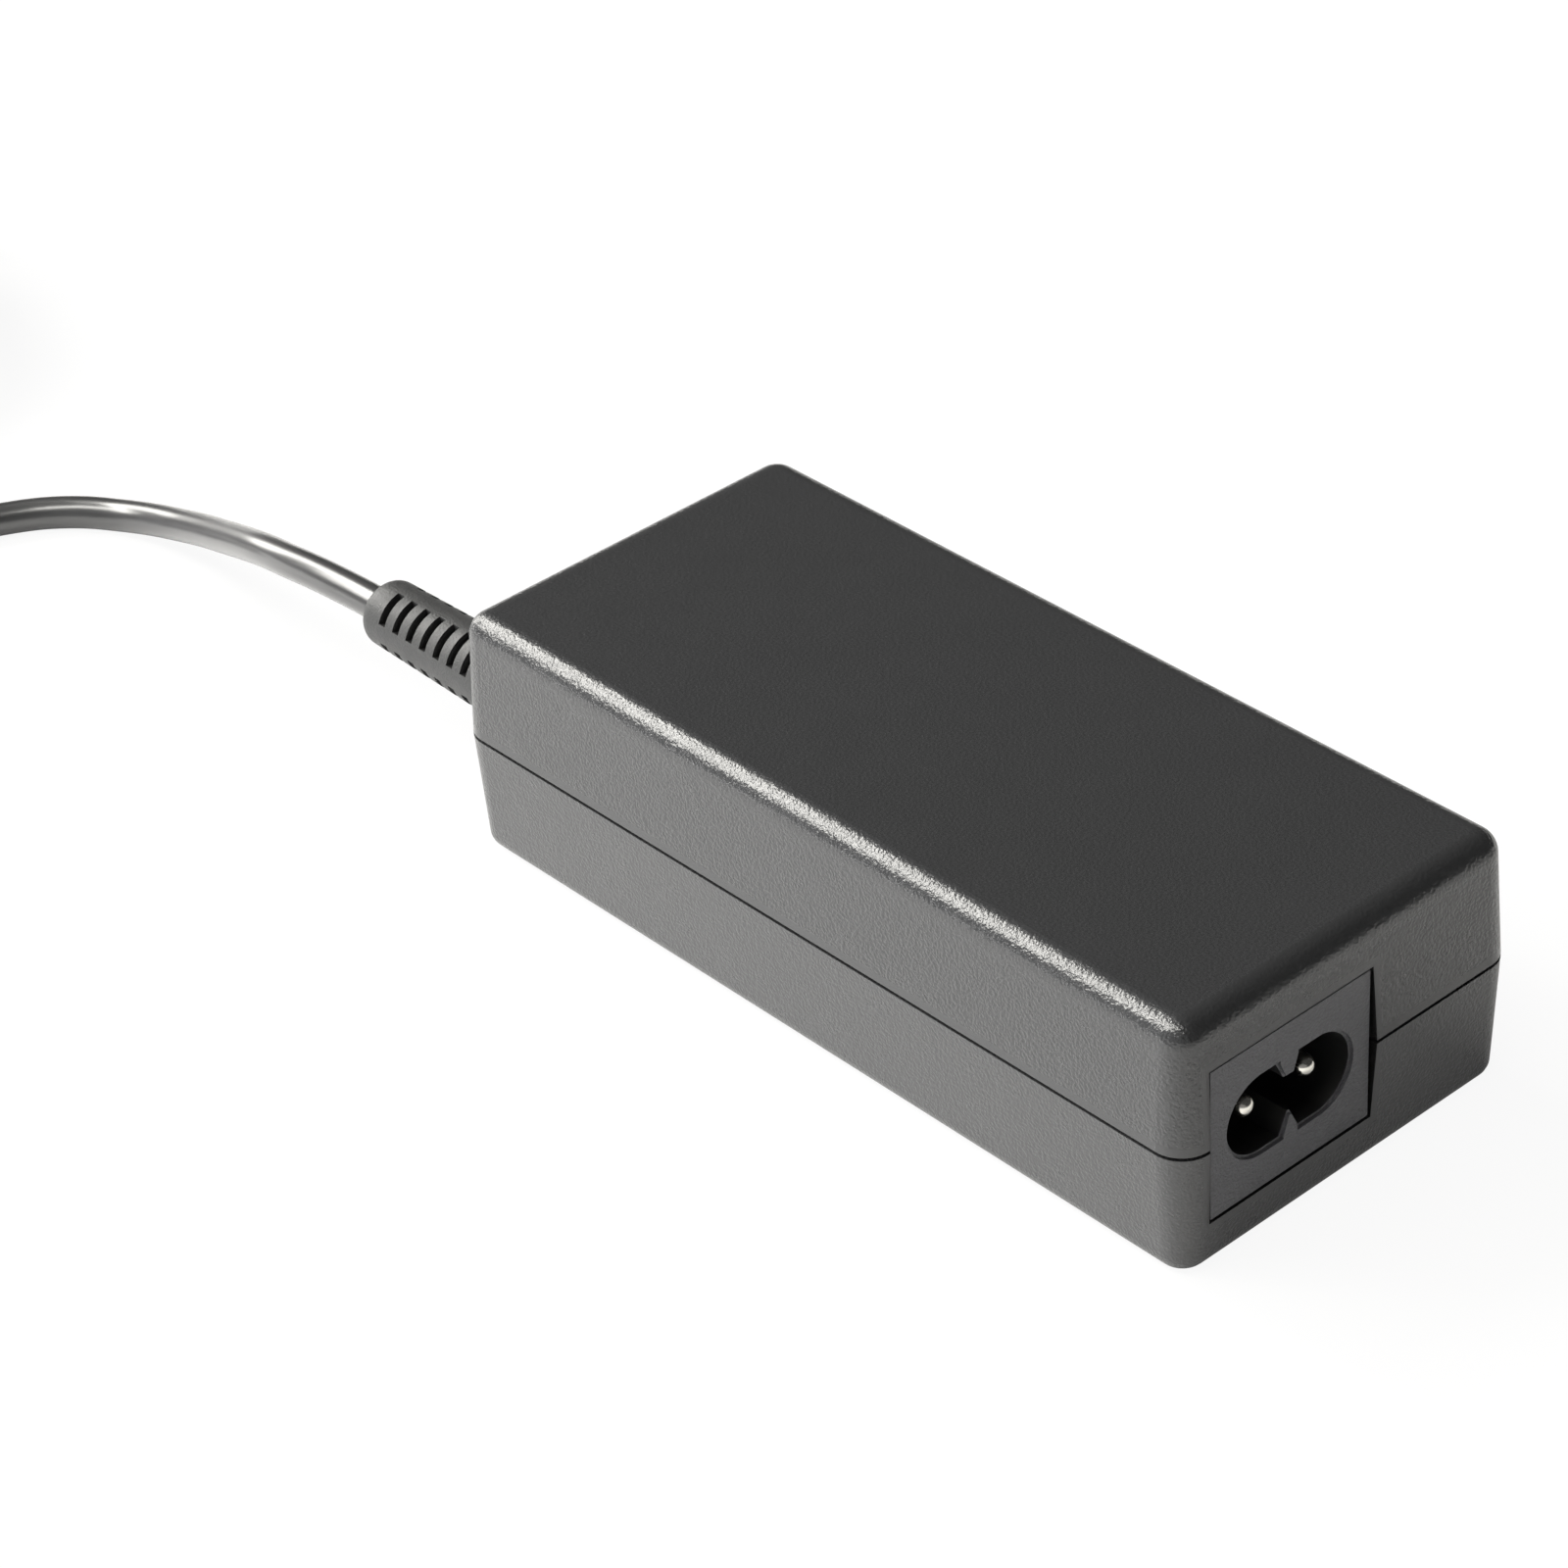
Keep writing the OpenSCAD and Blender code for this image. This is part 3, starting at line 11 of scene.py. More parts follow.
import bpy
import numpy as np
from mathutils import Matrix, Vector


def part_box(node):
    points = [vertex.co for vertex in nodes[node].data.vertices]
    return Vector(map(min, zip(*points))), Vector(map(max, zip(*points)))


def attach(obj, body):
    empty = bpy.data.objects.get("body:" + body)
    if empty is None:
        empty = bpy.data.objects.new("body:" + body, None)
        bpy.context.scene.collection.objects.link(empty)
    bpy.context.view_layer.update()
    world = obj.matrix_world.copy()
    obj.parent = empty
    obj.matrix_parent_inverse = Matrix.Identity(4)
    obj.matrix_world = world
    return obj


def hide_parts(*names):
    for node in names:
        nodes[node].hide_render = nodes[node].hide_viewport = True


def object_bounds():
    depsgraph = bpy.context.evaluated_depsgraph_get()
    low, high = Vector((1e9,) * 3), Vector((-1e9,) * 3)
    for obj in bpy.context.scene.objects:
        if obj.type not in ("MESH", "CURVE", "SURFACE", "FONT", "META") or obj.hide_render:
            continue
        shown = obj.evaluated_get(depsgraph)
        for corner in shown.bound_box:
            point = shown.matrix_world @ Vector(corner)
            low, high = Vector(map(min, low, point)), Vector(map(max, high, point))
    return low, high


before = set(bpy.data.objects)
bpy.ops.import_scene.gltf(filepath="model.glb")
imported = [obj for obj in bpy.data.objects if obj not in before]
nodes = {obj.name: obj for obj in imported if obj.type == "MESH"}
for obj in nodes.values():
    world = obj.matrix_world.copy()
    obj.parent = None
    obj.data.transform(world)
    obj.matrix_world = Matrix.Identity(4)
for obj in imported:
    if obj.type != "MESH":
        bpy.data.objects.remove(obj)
cad_low, cad_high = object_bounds()
MM = 0.001
print("CAD nodes:", len(nodes))
print("CAD box in mm:", [round(v / MM, 1) for v in cad_high - cad_low])

# %% [markdown]
# ## The camera
# A product shot of a small object is taken from some distance with a long
# lens, so that its edges hardly converge. A camera's own axes are the columns
# of its matrix: right, up and backwards. Writing them down gives the exact
# tilt, which is easier to trust than three angles.

# %% Camera
SENSOR = 36.0  # width in mm
LENS_SHARE = 4815.26 / 1600  # focal length over the width of the square image
CAMERA_PLACE = np.array([-271.49, -293.43, 298.08])  # mm
right = np.array([0.7393, -0.6713, -0.0531])
up = np.array([0.4143, 0.3914, 0.8217])
right /= np.linalg.norm(right)
back = np.cross(right, up)
back /= np.linalg.norm(back)
up = np.cross(back, right)

camera_data = bpy.data.cameras.new("studio_camera")
camera_data.sensor_width = SENSOR
camera_data.lens = SENSOR * LENS_SHARE
camera_data.clip_start, camera_data.clip_end = 0.05, 20
camera = bpy.data.objects.new("studio_camera", camera_data)
axes = np.eye(4)
axes[:3, :3] = np.stack([right, up, back], axis=1)
axes[:3, 3] = CAMERA_PLACE * MM
camera.matrix_world = Matrix(axes.tolist())
bpy.context.scene.collection.objects.link(camera)
bpy.context.scene.camera = camera
print("lens in mm:", round(camera_data.lens, 2))

# %% [markdown]
# ## Surfaces as arrays
# Every soft piece here is a closed profile carried along a path. The path is
# an array of points, the profile is an array of corners, and one expression
# places all corners at all points. A grid of rows then becomes a mesh: each
# cell of the grid is one face, and two fans of triangles close the ends.


# %% A grid of points becomes a mesh object
def piece_from_grid(name, grid):
    """Faces over grid[row, corner], whose corners run once round a section.

    The volume is the sum over triangles of a . (b x c) / 6. If it comes out
    negative, the faces look inwards and every row is turned round. The UV map
    holds the share of the way round a section, and the way along in metres.
    """
    rows, corners = grid.shape[:2]
    row, corner = np.mgrid[: rows - 1, :corners]
    steps = np.array([[0, 0], [0, 1], [1, 1], [1, 0]])
    cell_rows = row[..., None] + steps[:, 0]
    cell_corners = corner[..., None] + steps[:, 1]
    quads = (cell_rows * corners + cell_corners % corners).reshape(-1, 4)
    middles = grid.mean(axis=1)
    along = np.r_[0, np.linalg.norm(np.diff(middles, axis=0), axis=1).cumsum()]
    uv = np.stack([cell_corners / corners, along[cell_rows]], axis=-1)
    uv = uv.reshape(-1, 4, 2)
    points = grid.reshape(-1, 3)
    a, b, c, d = (points[quads[:, k]] for k in range(4))
    volume = (a * (np.cross(b, c) + np.cross(c, d))).sum() / 6
    first, last = np.arange(corners), np.arange(corners) + (rows - 1) * corners
    if volume < 0:
        quads, uv, last = quads[:, ::-1], uv[:, ::-1], last[::-1]
    else:
        first = first[::-1]
    faces = [*quads.tolist(), first.tolist(), last.tolist()]
    mesh = bpy.data.meshes.new(name)
    mesh.from_pydata(points.tolist(), [], faces)
    mesh.polygons.foreach_set("use_smooth", [True] * len(faces))
    layer = mesh.uv_layers.new(name="surface")
    layer.uv.foreach_set("vector", np.r_[uv.ravel(), np.zeros(4 * corners)])
    mesh.update()
    piece = bpy.data.objects.new(name, mesh)
    bpy.context.scene.collection.objects.link(piece)
    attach(piece, "root")
    print(name, "faces:", len(faces))
    return piece


# %% A smooth line through given points
def smooth_line(points, steps):
    """Catmull-Rom curve: each span is a cubic whose slope at a point is half
    the step from the point before it to the point after it."""
    p = np.vstack([2 * points[0] - points[1], points, 2 * points[-1] - points[-2]])
    t = np.linspace(0, 1, steps, endpoint=False)[None, :, None]
    p0, p1, p2, p3 = (p[k : len(p) - 3 + k, None, :] for k in range(4))
    span = 0.5 * (
        2 * p1
        + (p2 - p0) * t
        + (2 * p0 - 5 * p1 + 4 * p2 - p3) * t**2
        + (3 * p1 - p0 - 3 * p2 + p3) * t**3
    )
    return np.vstack([span.reshape(-1, 3), points[-1]])


def path_length(points):
    """The sum of the distances from each point to the next."""
    return float(np.linalg.norm(np.diff(points, axis=0), axis=1).sum())


# %% A profile carried along a path
def carried(path, profile):
    """path[i] + profile[j].x * side + profile[j].y * rise. side is level and
    square to the path's heading, and rise is square to both of them."""
    heading = np.gradient(path, axis=0)
    heading /= np.linalg.norm(heading, axis=1, keepdims=True)
    side = np.cross(heading, [0.0, 0.0, 1.0])
    side /= np.linalg.norm(side, axis=1, keepdims=True)
    rise = np.cross(side, heading)
    across = profile[None, :, 0, None] * side[:, None, :]
    upward = profile[None, :, 1, None] * rise[:, None, :]
    return path[:, None, :] + across + upward


def circle_profile(radius, corners):
    """radius * (cos, sin) of angles at even distances."""
    angle = np.linspace(0, 2 * np.pi, corners, endpoint=False)
    return radius * np.stack([np.cos(angle), np.sin(angle)], axis=1)


# %% [markdown]
# ## The output lead
# The lead is 4 mm thick and about 1.2 m long. It leaves the relief straight,
# sinks to the table in about fifty millimetres, and swings round in a loose
# curve. The rest of it is wound as for storage: four layers of turns that lie
# beside and on each other, a little over a diameter apart. The route repeats
# the points of the CAD model, in millimetres, and ends here as metres. Its
# points could be placed by hand in the viewport, but as numbers they can be
# checked against the CAD, and the length comes out of them.

# %% The lead from the relief to the coil
CORD_D = 4.0
TIP = np.array([-14.3, 79.3, 15.0])  # where the lead leaves the relief
RUN_IN, COIL_Z = 16.8, 2.7  # the last stretch, and the coil's lowest height
# Steps from the tip in x and y, and the share of its height that is left.
lead_route = np.array([
    [0, 0, 1], [0, 1, 1], [-0.2, 5.3, 1], [-0.4, 11.3, 0.98],
    [-0.3, 17.3, 0.92], [0.5, 23.3, 0.81], [1.7, 29.3, 0.65],
    [2.9, 35.3, 0.48], [3.9, 41.3, 0.32], [4.4, 47.3, 0.17],
    [4, 52.7, 0.07], [2.6, 57.5, 0.01], [0, 61.7, 0], [-3.6, 65.2, 0],
    [-8, 67.9, 0], [-13.2, 70.3, 0], [-18.6, 73.3, 0], [-23.4, 77.7, 0],
    [-26.8, 83.7, 0], [-29.1, 90.5, 0], [-30.1, 98.3, 0], [-30.1, 107.3, 0],
])
lead = TIP + lead_route
lead[:, 2] = CORD_D / 2 + (TIP[2] - CORD_D / 2) * lead_route[:, 2]
coil_start = np.array([lead[-1, 0], lead[-1, 1] + RUN_IN, COIL_Z])
lead = np.vstack([lead, coil_start - [0, 2 * CORD_D, 0]])
print("lead in mm:", round(path_length(lead), 1), "points:", len(lead))


# %% The coil, as one function of the number of turns
COIL_R, STEP, LAYERS, TURNS = 26.4, 4.5, 4, 6.875
POINTS_PER_TURN = 48
LAYER_TURNS = TURNS / LAYERS
INNER_R = COIL_R - STEP * LAYER_TURNS
centre = coil_start + [COIL_R, CORD_D, 0]


def soft_step(x):
    """3 c^2 - 2 c^3, with c kept between 0 and 1: a rise with level ends."""
    c = np.clip(x, 0, 1)
    return c * c * (3 - 2 * c)


def coil_points(turn):
    """A flat spiral that runs inwards on even layers and outwards on odd ones,
    and climbs one step in the half turn where it reverses."""
    layer = np.minimum(LAYERS - 1, turn // LAYER_TURNS)
    run = turn - layer * LAYER_TURNS
    radius = np.where(layer % 2 == 0, COIL_R - STEP * run, INNER_R + STEP * run)
    reversals = np.arange(1, LAYERS) * LAYER_TURNS
    climb = soft_step((turn[:, None] - reversals) * 2 + 0.5).sum(axis=1)
    angle = math.pi - 2 * math.pi * turn
    x = centre[0] + radius * np.cos(angle)
    y = centre[1] + radius * np.sin(angle)
    return np.stack([x, y, coil_start[2] + STEP * climb], axis=1)


coil = coil_points(np.linspace(0, TURNS, round(TURNS * POINTS_PER_TURN) + 1))
end_angle = math.pi - 2 * math.pi * TURNS
coil_out = np.array([math.sin(end_angle), -math.cos(end_angle), 0])  # heading
coil_finish = coil[-1] + CORD_D * coil_out
print("coil in mm:", round(path_length(coil), 1), "points:", len(coil))

# %% The tail, an arc that rises over the coil to the height of the plug
PLUG_Z, TAIL_R, TAIL_POINTS = 23.3, 20.0, 28
tail_start = coil_finish + CORD_D / 2 * coil_out
tail_axis = tail_start + TAIL_R * np.array([coil_out[1], -coil_out[0], 0])
share = np.linspace(0, 1, TAIL_POINTS)
turned = math.atan2(coil_out[1], coil_out[0]) * (1 - share)
tail = np.stack([
    tail_axis[0] - TAIL_R * np.sin(turned),
    tail_axis[1] + TAIL_R * np.cos(turned),
    tail_start[2] + (PLUG_Z - tail_start[2]) * soft_step(share),
], axis=1)
tail = np.vstack([tail, tail[-1] + [CORD_D, 0, 0]])
print("tail in mm:", round(path_length(tail), 1))

# %% One tube for the whole cord
LEAD_STEPS, CORD_CORNERS = 8, 32  # steps between route points, sides of the tube
cord_path = np.vstack([
    smooth_line(np.vstack([lead, coil_start]), LEAD_STEPS)[:-1],
    coil_start,
    coil,
    coil_finish,
    tail,
]) * MM
cord_profile = circle_profile(CORD_D / 2 * MM, CORD_CORNERS)
cord = piece_from_grid("output_cord", carried(cord_path, cord_profile))
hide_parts("cord_lead", "cord_coil", "cord_tail")

# %% [markdown]
# ## The tie
# A hook-and-loop strap holds the coil. It is a flat band bent round the
# turns, with its free end lying over its start. A scaled torus would be
# quicker, but it has no end and no flat sides. Here the path is a rounded
# rectangle that runs a little further than once round, nearly one thickness
# further out on the second pass, and the profile is a thin band with round
# edges.

# %% The strap's path and profile
STRAP_T, STRAP_W, SLACK = 0.6, 8.0, 0.1  # thickness, width, gap to the cord
LAP, LAP_LIFT, LAP_RISE = 0.28, 0.9, 6  # the free end, in the next cell
LOOP_POINTS, BEND_POINTS, EDGE_POINTS = 160, 13, 5
tie_inner = math.sqrt((INNER_R - CORD_D / 2) ** 2 - (STRAP_W / 2) ** 2) - SLACK
tie_outer = COIL_R + CORD_D / 2 + SLACK
tie_top = coil_start[2] + (LAYERS - 1) * STEP + CORD_D / 2 + SLACK
bend_r = CORD_D / 2 + SLACK + STRAP_T / 2


def rounded_loop(width, height, radius, count):
    """Points at even distances round a rectangle with quarter-circle corners,
    in the plane of x and z, from the middle of its outer side upwards."""
    quarter = np.linspace(0, np.pi / 2, BEND_POINTS)
    angle = quarter + np.pi / 2 * np.arange(4)[:, None]
    w, h = width / 2 - radius, height / 2 - radius
    middles = np.array([[w, h], [-w, h], [-w, -h], [w, -h]])[:, None, :]
    bends = middles + radius * np.stack([np.cos(angle), np.sin(angle)], axis=-1)
    start = [[width / 2, 0]]
    loop = np.vstack([start, bends.reshape(-1, 2), start])
    along = np.r_[0, np.linalg.norm(np.diff(loop, axis=0), axis=1).cumsum()]
    at = np.linspace(0, along[-1], count)
    return np.stack([np.interp(at, along, loop[:, k]) for k in (0, 1)], axis=1)


loop_w = tie_outer - tie_inner + STRAP_T
loop = rounded_loop(loop_w, tie_top, bend_r, LOOP_POINTS)
print("strap loop in mm:", np.ptp(loop, axis=0).round(2))

# %% The strap as a closed band with a free end
# The free end lies on the first LAP of the loop. It starts level with it, and
# has moved out by LAP_LIFT of a thickness after one LAP_RISE-th of its length.
lap_rows = round(LAP * len(loop))
lap_out = STRAP_T * LAP_LIFT * soft_step(np.linspace(0, LAP_RISE, lap_rows))
normal = np.stack([np.gradient(loop[:, 1]), -np.gradient(loop[:, 0])], axis=1)
normal /= np.linalg.norm(normal, axis=1, keepdims=True)
over = loop[1 : lap_rows + 1] + normal[1 : lap_rows + 1] * lap_out[:, None]
band = np.vstack([loop[:-1], over])
outwards = np.vstack([normal[:-1], normal[1 : lap_rows + 1]])
edge = np.linspace(-np.pi / 2, np.pi / 2, EDGE_POINTS)
half_t, half_w = STRAP_T / 2, STRAP_W / 2 - STRAP_T / 2
# A corner of the section is (place across the band, height along its normal).
section = np.vstack([
    np.stack([half_w + half_t * np.cos(edge), half_t * np.sin(edge)], 1),
    np.stack([-half_w - half_t * np.cos(edge), -half_t * np.sin(edge)], 1),
])
strap = np.empty((len(band), len(section), 3))
strap[..., 0] = band[:, None, 0] + outwards[:, None, 0] * section[None, :, 1]
strap[..., 1] = section[None, :, 0]
strap[..., 2] = band[:, None, 1] + outwards[:, None, 1] * section[None, :, 1]
strap += [centre[0] + (tie_inner + tie_outer) / 2, centre[1], (tie_top + STRAP_T) / 2]
tie = piece_from_grid("coil_strap", strap * MM)
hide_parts("coil_tie")

# %% [markdown]
# ## Shader maths in plain Python
# A material is a graph of nodes. Written node by node, a formula such as
# grain * (1 - mask) takes a dozen lines, so a small class wraps a socket and
# lets Python's operators add the Math nodes. Colours and vectors would turn
# grey in a Math node, so they have calls of their own.


# %% A value in a shader
class Value:
    """One output socket of a finish. Each operator adds one Math node."""

    def __init__(self, finish, socket):
        self.finish, self.socket = finish, socket

    def math(self, operation, *others):
        """A Math node, for operations that have no operator in Python."""
        inputs = dict(enumerate([self, *others]))
        return self.finish.add("ShaderNodeMath", {"operation": operation}, inputs)

    def __add__(self, other):
        return self.math("ADD", other)

    def __sub__(self, other):
        return self.math("SUBTRACT", other)

    def __mul__(self, other):
        return self.math("MULTIPLY", other)

    def __rsub__(self, other):
        return self * -1 + other

    __radd__, __rmul__ = __add__, __mul__

    def rise(self, start, end):
        """0 below start, 1 above end, and a smooth step between them."""
        inputs = {"Value": self, "From Min": start, "From Max": end}
        settings = {"interpolation_type": "SMOOTHSTEP"}
        return self.finish.add("ShaderNodeMapRange", settings, inputs)

    def larger(self, other):
        return self.math("MAXIMUM", other)


# %% A finish builds its own node tree
class Finish:
    """A material for one surface of the adapter, or a world, as nodes."""

    def __init__(self, name, coordinates="Object", made_in=bpy.data.materials):
        self.block = made_in.new(name)
        self.block.use_nodes = True
        self.tree = self.block.node_tree
        self.tree.nodes.clear()
        self.place = self.add("ShaderNodeTexCoord", {}, {}, coordinates)

    def add(self, kind, settings, inputs, output=0):
        """Any node: its settings first, then the values or links it takes.

        A tuple is a colour or a vector. It is given a fourth number of 1, the
        alpha of a colour, and is cut to as many numbers as the socket holds.
        """
        node = self.tree.nodes.new(kind)
        for key, setting in settings.items():
            setattr(node, key, setting)
        for key, given in inputs.items():
            socket = node.inputs[key]
            if isinstance(given, Value):
                self.tree.links.new(given.socket, socket)
            elif isinstance(given, tuple):
                socket.default_value = (*given, 1)[: len(socket.default_value)]
            else:
                socket.default_value = given
        return Value(self, node.outputs[output]) if node.outputs else None

    def axes(self):
        """The three coordinates of a point on the surface."""
        x = self.add("ShaderNodeSeparateXYZ", {}, {"Vector": self.place})
        return [Value(self, socket) for socket in x.socket.node.outputs]

    def joined(self, x, y, z):
        """Three values as one vector."""
        return self.add("ShaderNodeCombineXYZ", {}, {"X": x, "Y": y, "Z": z})

    def noise(self, size, detail=2.0, at=None):
        """Cloudy noise from 0 to 1. size is the width of its patches in
        metres, or a tuple of their widths along the three axes."""
        widths = size if isinstance(size, tuple) else (size,) * 3
        scale = tuple(1 / width for width in widths)
        inputs = {0: at or self.place, 1: scale}
        scaled = self.add("ShaderNodeVectorMath", {"operation": "MULTIPLY"}, inputs)
        inputs = {"Vector": scaled, "Scale": 1.0, "Detail": detail}
        return self.add("ShaderNodeTexNoise", {}, inputs)

    def colours(self, factor, first, second):
        """A Mix node between two colours. It has sockets for each kind of
        data: 0 is the factor, 6 and 7 are the colours, and 2 comes out."""
        inputs = {0: factor, 6: first, 7: second}
        return self.add("ShaderNodeMix", {"data_type": "RGBA"}, inputs, 2)

    def bump(self, height, depth):
        """A normal from a height of 0 to 1 that stands for depth metres."""
        return self.add("ShaderNodeBump", {}, {"Height": height, "Distance": depth})

    def shade(self, sockets):
        """The Principled shader with these sockets ends the tree."""
        surface = self.add("ShaderNodeBsdfPrincipled", {}, sockets)
        self.add("ShaderNodeOutputMaterial", {}, {"Surface": surface})
        return self


# %% Giving a finish to pieces
def dress(finish, *pieces):
    """pieces are objects, or names of CAD nodes."""
    for piece in pieces:
        piece = nodes[piece] if isinstance(piece, str) else piece
        piece.data.materials.clear()
        piece.data.materials.append(finish.block)
    print(finish.block.name, "on", len(pieces), "pieces")


def shades(colour, spread):
    """The colour a little darker, and a little lighter."""
    return [tuple(k * c for c in colour) for k in (1 - spread, 1 + spread)]


# %% [markdown]
# ## Moulded plastic
# Nearly all of the outside is black plastic. The steel of the mould was
# eroded by sparks, which leaves fine round pits about a third of a millimetre
# apart, and where it was ground the plastic comes out smooth. The grain could
# be a displaced mesh of millions of faces. A bump of noise in object
# coordinates has no seam and costs nothing. The high spots are rubbed a
# little paler, and two slower noises vary the colour and the gloss, as the
# flow of the plastic and handling do.


# %% One recipe for all moulded pieces
CLOUD, WEAR = 7 * MM, 2.5 * MM  # widths of the two slow noises
RUBBED, RUBBED_SHARE = 0.5, 0.15  # how much paler, and how much of that shows
POLISH = 0.06  # what a smooth place takes off the roughness
# The near black of painted shade, for the gaps, the relief's slots and the socket's
# inside.
PAINTED_SHADE_BLACK = (0.01, 0.01, 0.01)


def moulded(name, colour, grain, depth, gloss, smooth=None, painted_shade=None):
    """grain is the width of a pit and depth its depth, both in metres, and
    gloss the range of the roughness. smooth and the shade mask take the finish
    and give masks: 1 is where there are no pits, and where shade is painted:
    the colour is made near black, as the shade deep in a gap looks."""
    finish = Finish(name)
    pits = finish.noise(grain, detail=1.0).rise(0.3, 0.7)
    clouds = finish.noise(CLOUD).rise(0.25, 0.75)
    wear = finish.noise(WEAR, detail=4.0).rise(0.3, 0.7)
    roughness = gloss[0] + (gloss[1] - gloss[0]) * wear
    if smooth:
        mask = smooth(finish)
        pits = pits * (1 - mask) + 0.5 * mask
        roughness = roughness - POLISH * mask
    tint = finish.colours(clouds, *shades(colour, 0.02))
    paler = shades(colour, RUBBED)[1]
    shown = finish.colours(RUBBED_SHARE * pits, tint, paler)
    # Painted shade: where the shade mask is 1, the colour goes near black.
    if painted_shade:
        shown = finish.colours(painted_shade(finish), shown, PAINTED_SHADE_BLACK)
    return finish.shade({
        "Base Color": shown, "Roughness": roughness, "IOR": 1.65,
        "Normal": finish.bump(pits, depth),
    })


# %% [markdown]
# ## Where the case is smooth, and where shade is painted on it
# The case isn't grained all over. The mould was ground round the inlet's
# window and along the parting line, and hands polish the top and its edges.
# The faces inside the gaps are smooth too, and shade is painted on them: their
# colour is made near black, as the shade deep in a gap looks. These places
# could be painted or given faces of their own, but the CAD mesh stays as it is,
# so each is a mask: a smooth step on one coordinate. A pair of numbers gives
# where a step starts and where it ends, in metres.

# %% The places on the case
front_y = cad_low[1]
PARTING_Z = 15 * MM
WINDOW_X, WINDOW_Z = -8.3 * MM, 14.85 * MM  # its middle
WINDOW_HALF_W, WINDOW_HALF_H = 11.4 * MM, 9.2 * MM
BORDER = (0.95 * MM, 1.1 * MM)  # beyond the sides of the window
FRONT_SKIN = (front_y + 1.2 * MM, front_y + 1.4 * MM)
STRIP_END = (16.25 * MM, 16.35 * MM)
EDGE_POLISH, EDGE_RISE = 0.45, (26.2 * MM, 27 * MM)
TOP_POLISH, TOP_RISE = 0.25, (29.5 * MM, 29.78 * MM)
SEAM_HALF = (0.17 * MM, 0.2 * MM)  # from the parting line, up or down
# From the middle of the window across and upward, past the inlet's edges.
GAP_SIDE, GAP_ROOF = (11.75 * MM, 11.8 * MM), (9.21 * MM, 9.23 * MM)
GAP_END = (front_y + 3 * MM, front_y + 3.2 * MM)
print("ground strip in mm:", round((STRIP_END[1] - PARTING_Z) / MM, 2))


# %% Masks on the case
def ground_border(finish):
    """Within a millimetre of the inlet's window on the front wall, by the
    larger of the two distances beyond its sides."""
    x, y, z = finish.axes()
    across = (x - WINDOW_X).math("ABSOLUTE") - WINDOW_HALF_W
    upward = (z - WINDOW_Z).math("ABSOLUTE") - WINDOW_HALF_H
    near = 1 - across.larger(upward).rise(*BORDER)
    return near * (1 - y.rise(*FRONT_SKIN))


def ground_strips(finish):
    """The border, a strip of 1.3 mm above the parting line, and in part the
    upper edges and the flat top, which hands have polished."""
    height = finish.axes()[2]
    strip = 1 - height.rise(*STRIP_END)
    edges = EDGE_POLISH * height.rise(*EDGE_RISE)
    polished = edges + TOP_POLISH * height.rise(*TOP_RISE)
    return ground_border(finish).larger(strip).larger(polished)


def painted_gap_shade(finish):
    """1 between the shells, and on the sides of the inlet's window, where shade is
    painted.
    """
    x, y, z = finish.axes()
    between = 1 - (z - PARTING_Z).math("ABSOLUTE").rise(*SEAM_HALF)
    across = (x - WINDOW_X).math("ABSOLUTE").rise(*GAP_SIDE)
    upward = (z - WINDOW_Z).math("ABSOLUTE").rise(*GAP_ROOF)
    front = 1 - y.rise(*GAP_END)
    return between.larger((1 - across.larger(upward)) * front)


# %% The two shells
CASE, CASE_GLOSS = (0.0305, 0.031, 0.0323), (0.27, 0.3)
PIT = 0.36 * MM
for shell, depth, smooth in [
    ("top", 0.055 * MM, ground_strips), ("bottom", 0.036 * MM, ground_border),
]:
    # The last mask paints shade into the gaps between the shells and beside the window.
    shell_finish = moulded(
        "case_" + shell, CASE, PIT, depth, CASE_GLOSS, smooth, painted_gap_shade
    )
    dress(shell_finish, shell + "_shell")

# %% The inlet
SOCKET_FROM = (front_y + 0.9 * MM, front_y + 1.1 * MM)


def socket_inside(finish):
    """1 behind the bevel round the mouth, which is 0.3 mm deep: there the plastic is
    smooth, and shade is painted on it.
    """
    return finish.axes()[1].rise(*SOCKET_FROM)


# The socket's inside is smooth, and shade is painted into it in near black.
dress(
    moulded(
        "inlet_plastic", (0.072, 0.072, 0.079), PIT, 0.06 * MM,
        (0.46, 0.52), socket_inside, socket_inside,
    ),
    "inlet_body",
)

# %% The relief and the plug
SLOT_FLOOR_R, SLOT_MOUTH_R = 3.6, 3.8  # mm from the relief's axis


def painted_slot_shade(finish):
    """1 inside the slots of the relief, where shade is painted, by the square of
    the distance from its axis in square millimetres."""
    x, _, z = finish.axes()
    x, z = x * (1 / MM) - TIP[0], z * (1 / MM) - TIP[2]
    return 1 - (x * x + z * z).rise(SLOT_FLOOR_R**2, SLOT_MOUTH_R**2)


# Shade is painted near black inside the relief's slots.
dress(
    moulded(
        "soft_elastomer", (0.026, 0.0265, 0.027), 0.24 * MM, 0.025 * MM,
        (0.5, 0.62), painted_shade=painted_slot_shade,
    ),
    "cable_relief", "plug_grip",
)
dress(
    moulded(
        "insulator_plastic", (0.03, 0.03, 0.03), 0.1 * MM, 0.002 * MM, (0.3, 0.4)
    ),
    "plug_insulator",
)

# %% [markdown]
# ## Plated metal
# The pins and the barrel are turned brass with a nickel plating. The cutting
# tool leaves fine rings round the axis, so the noise is long round the piece
# and short along it. A mirror finish would be simpler, but real plating is a
# little uneven, and that is what makes a highlight look like metal.


# %% Plated and turned
RING_LENGTH, RING_WIDTH, RING_DEPTH = 4 * MM, 0.06 * MM, 0.0005 * MM


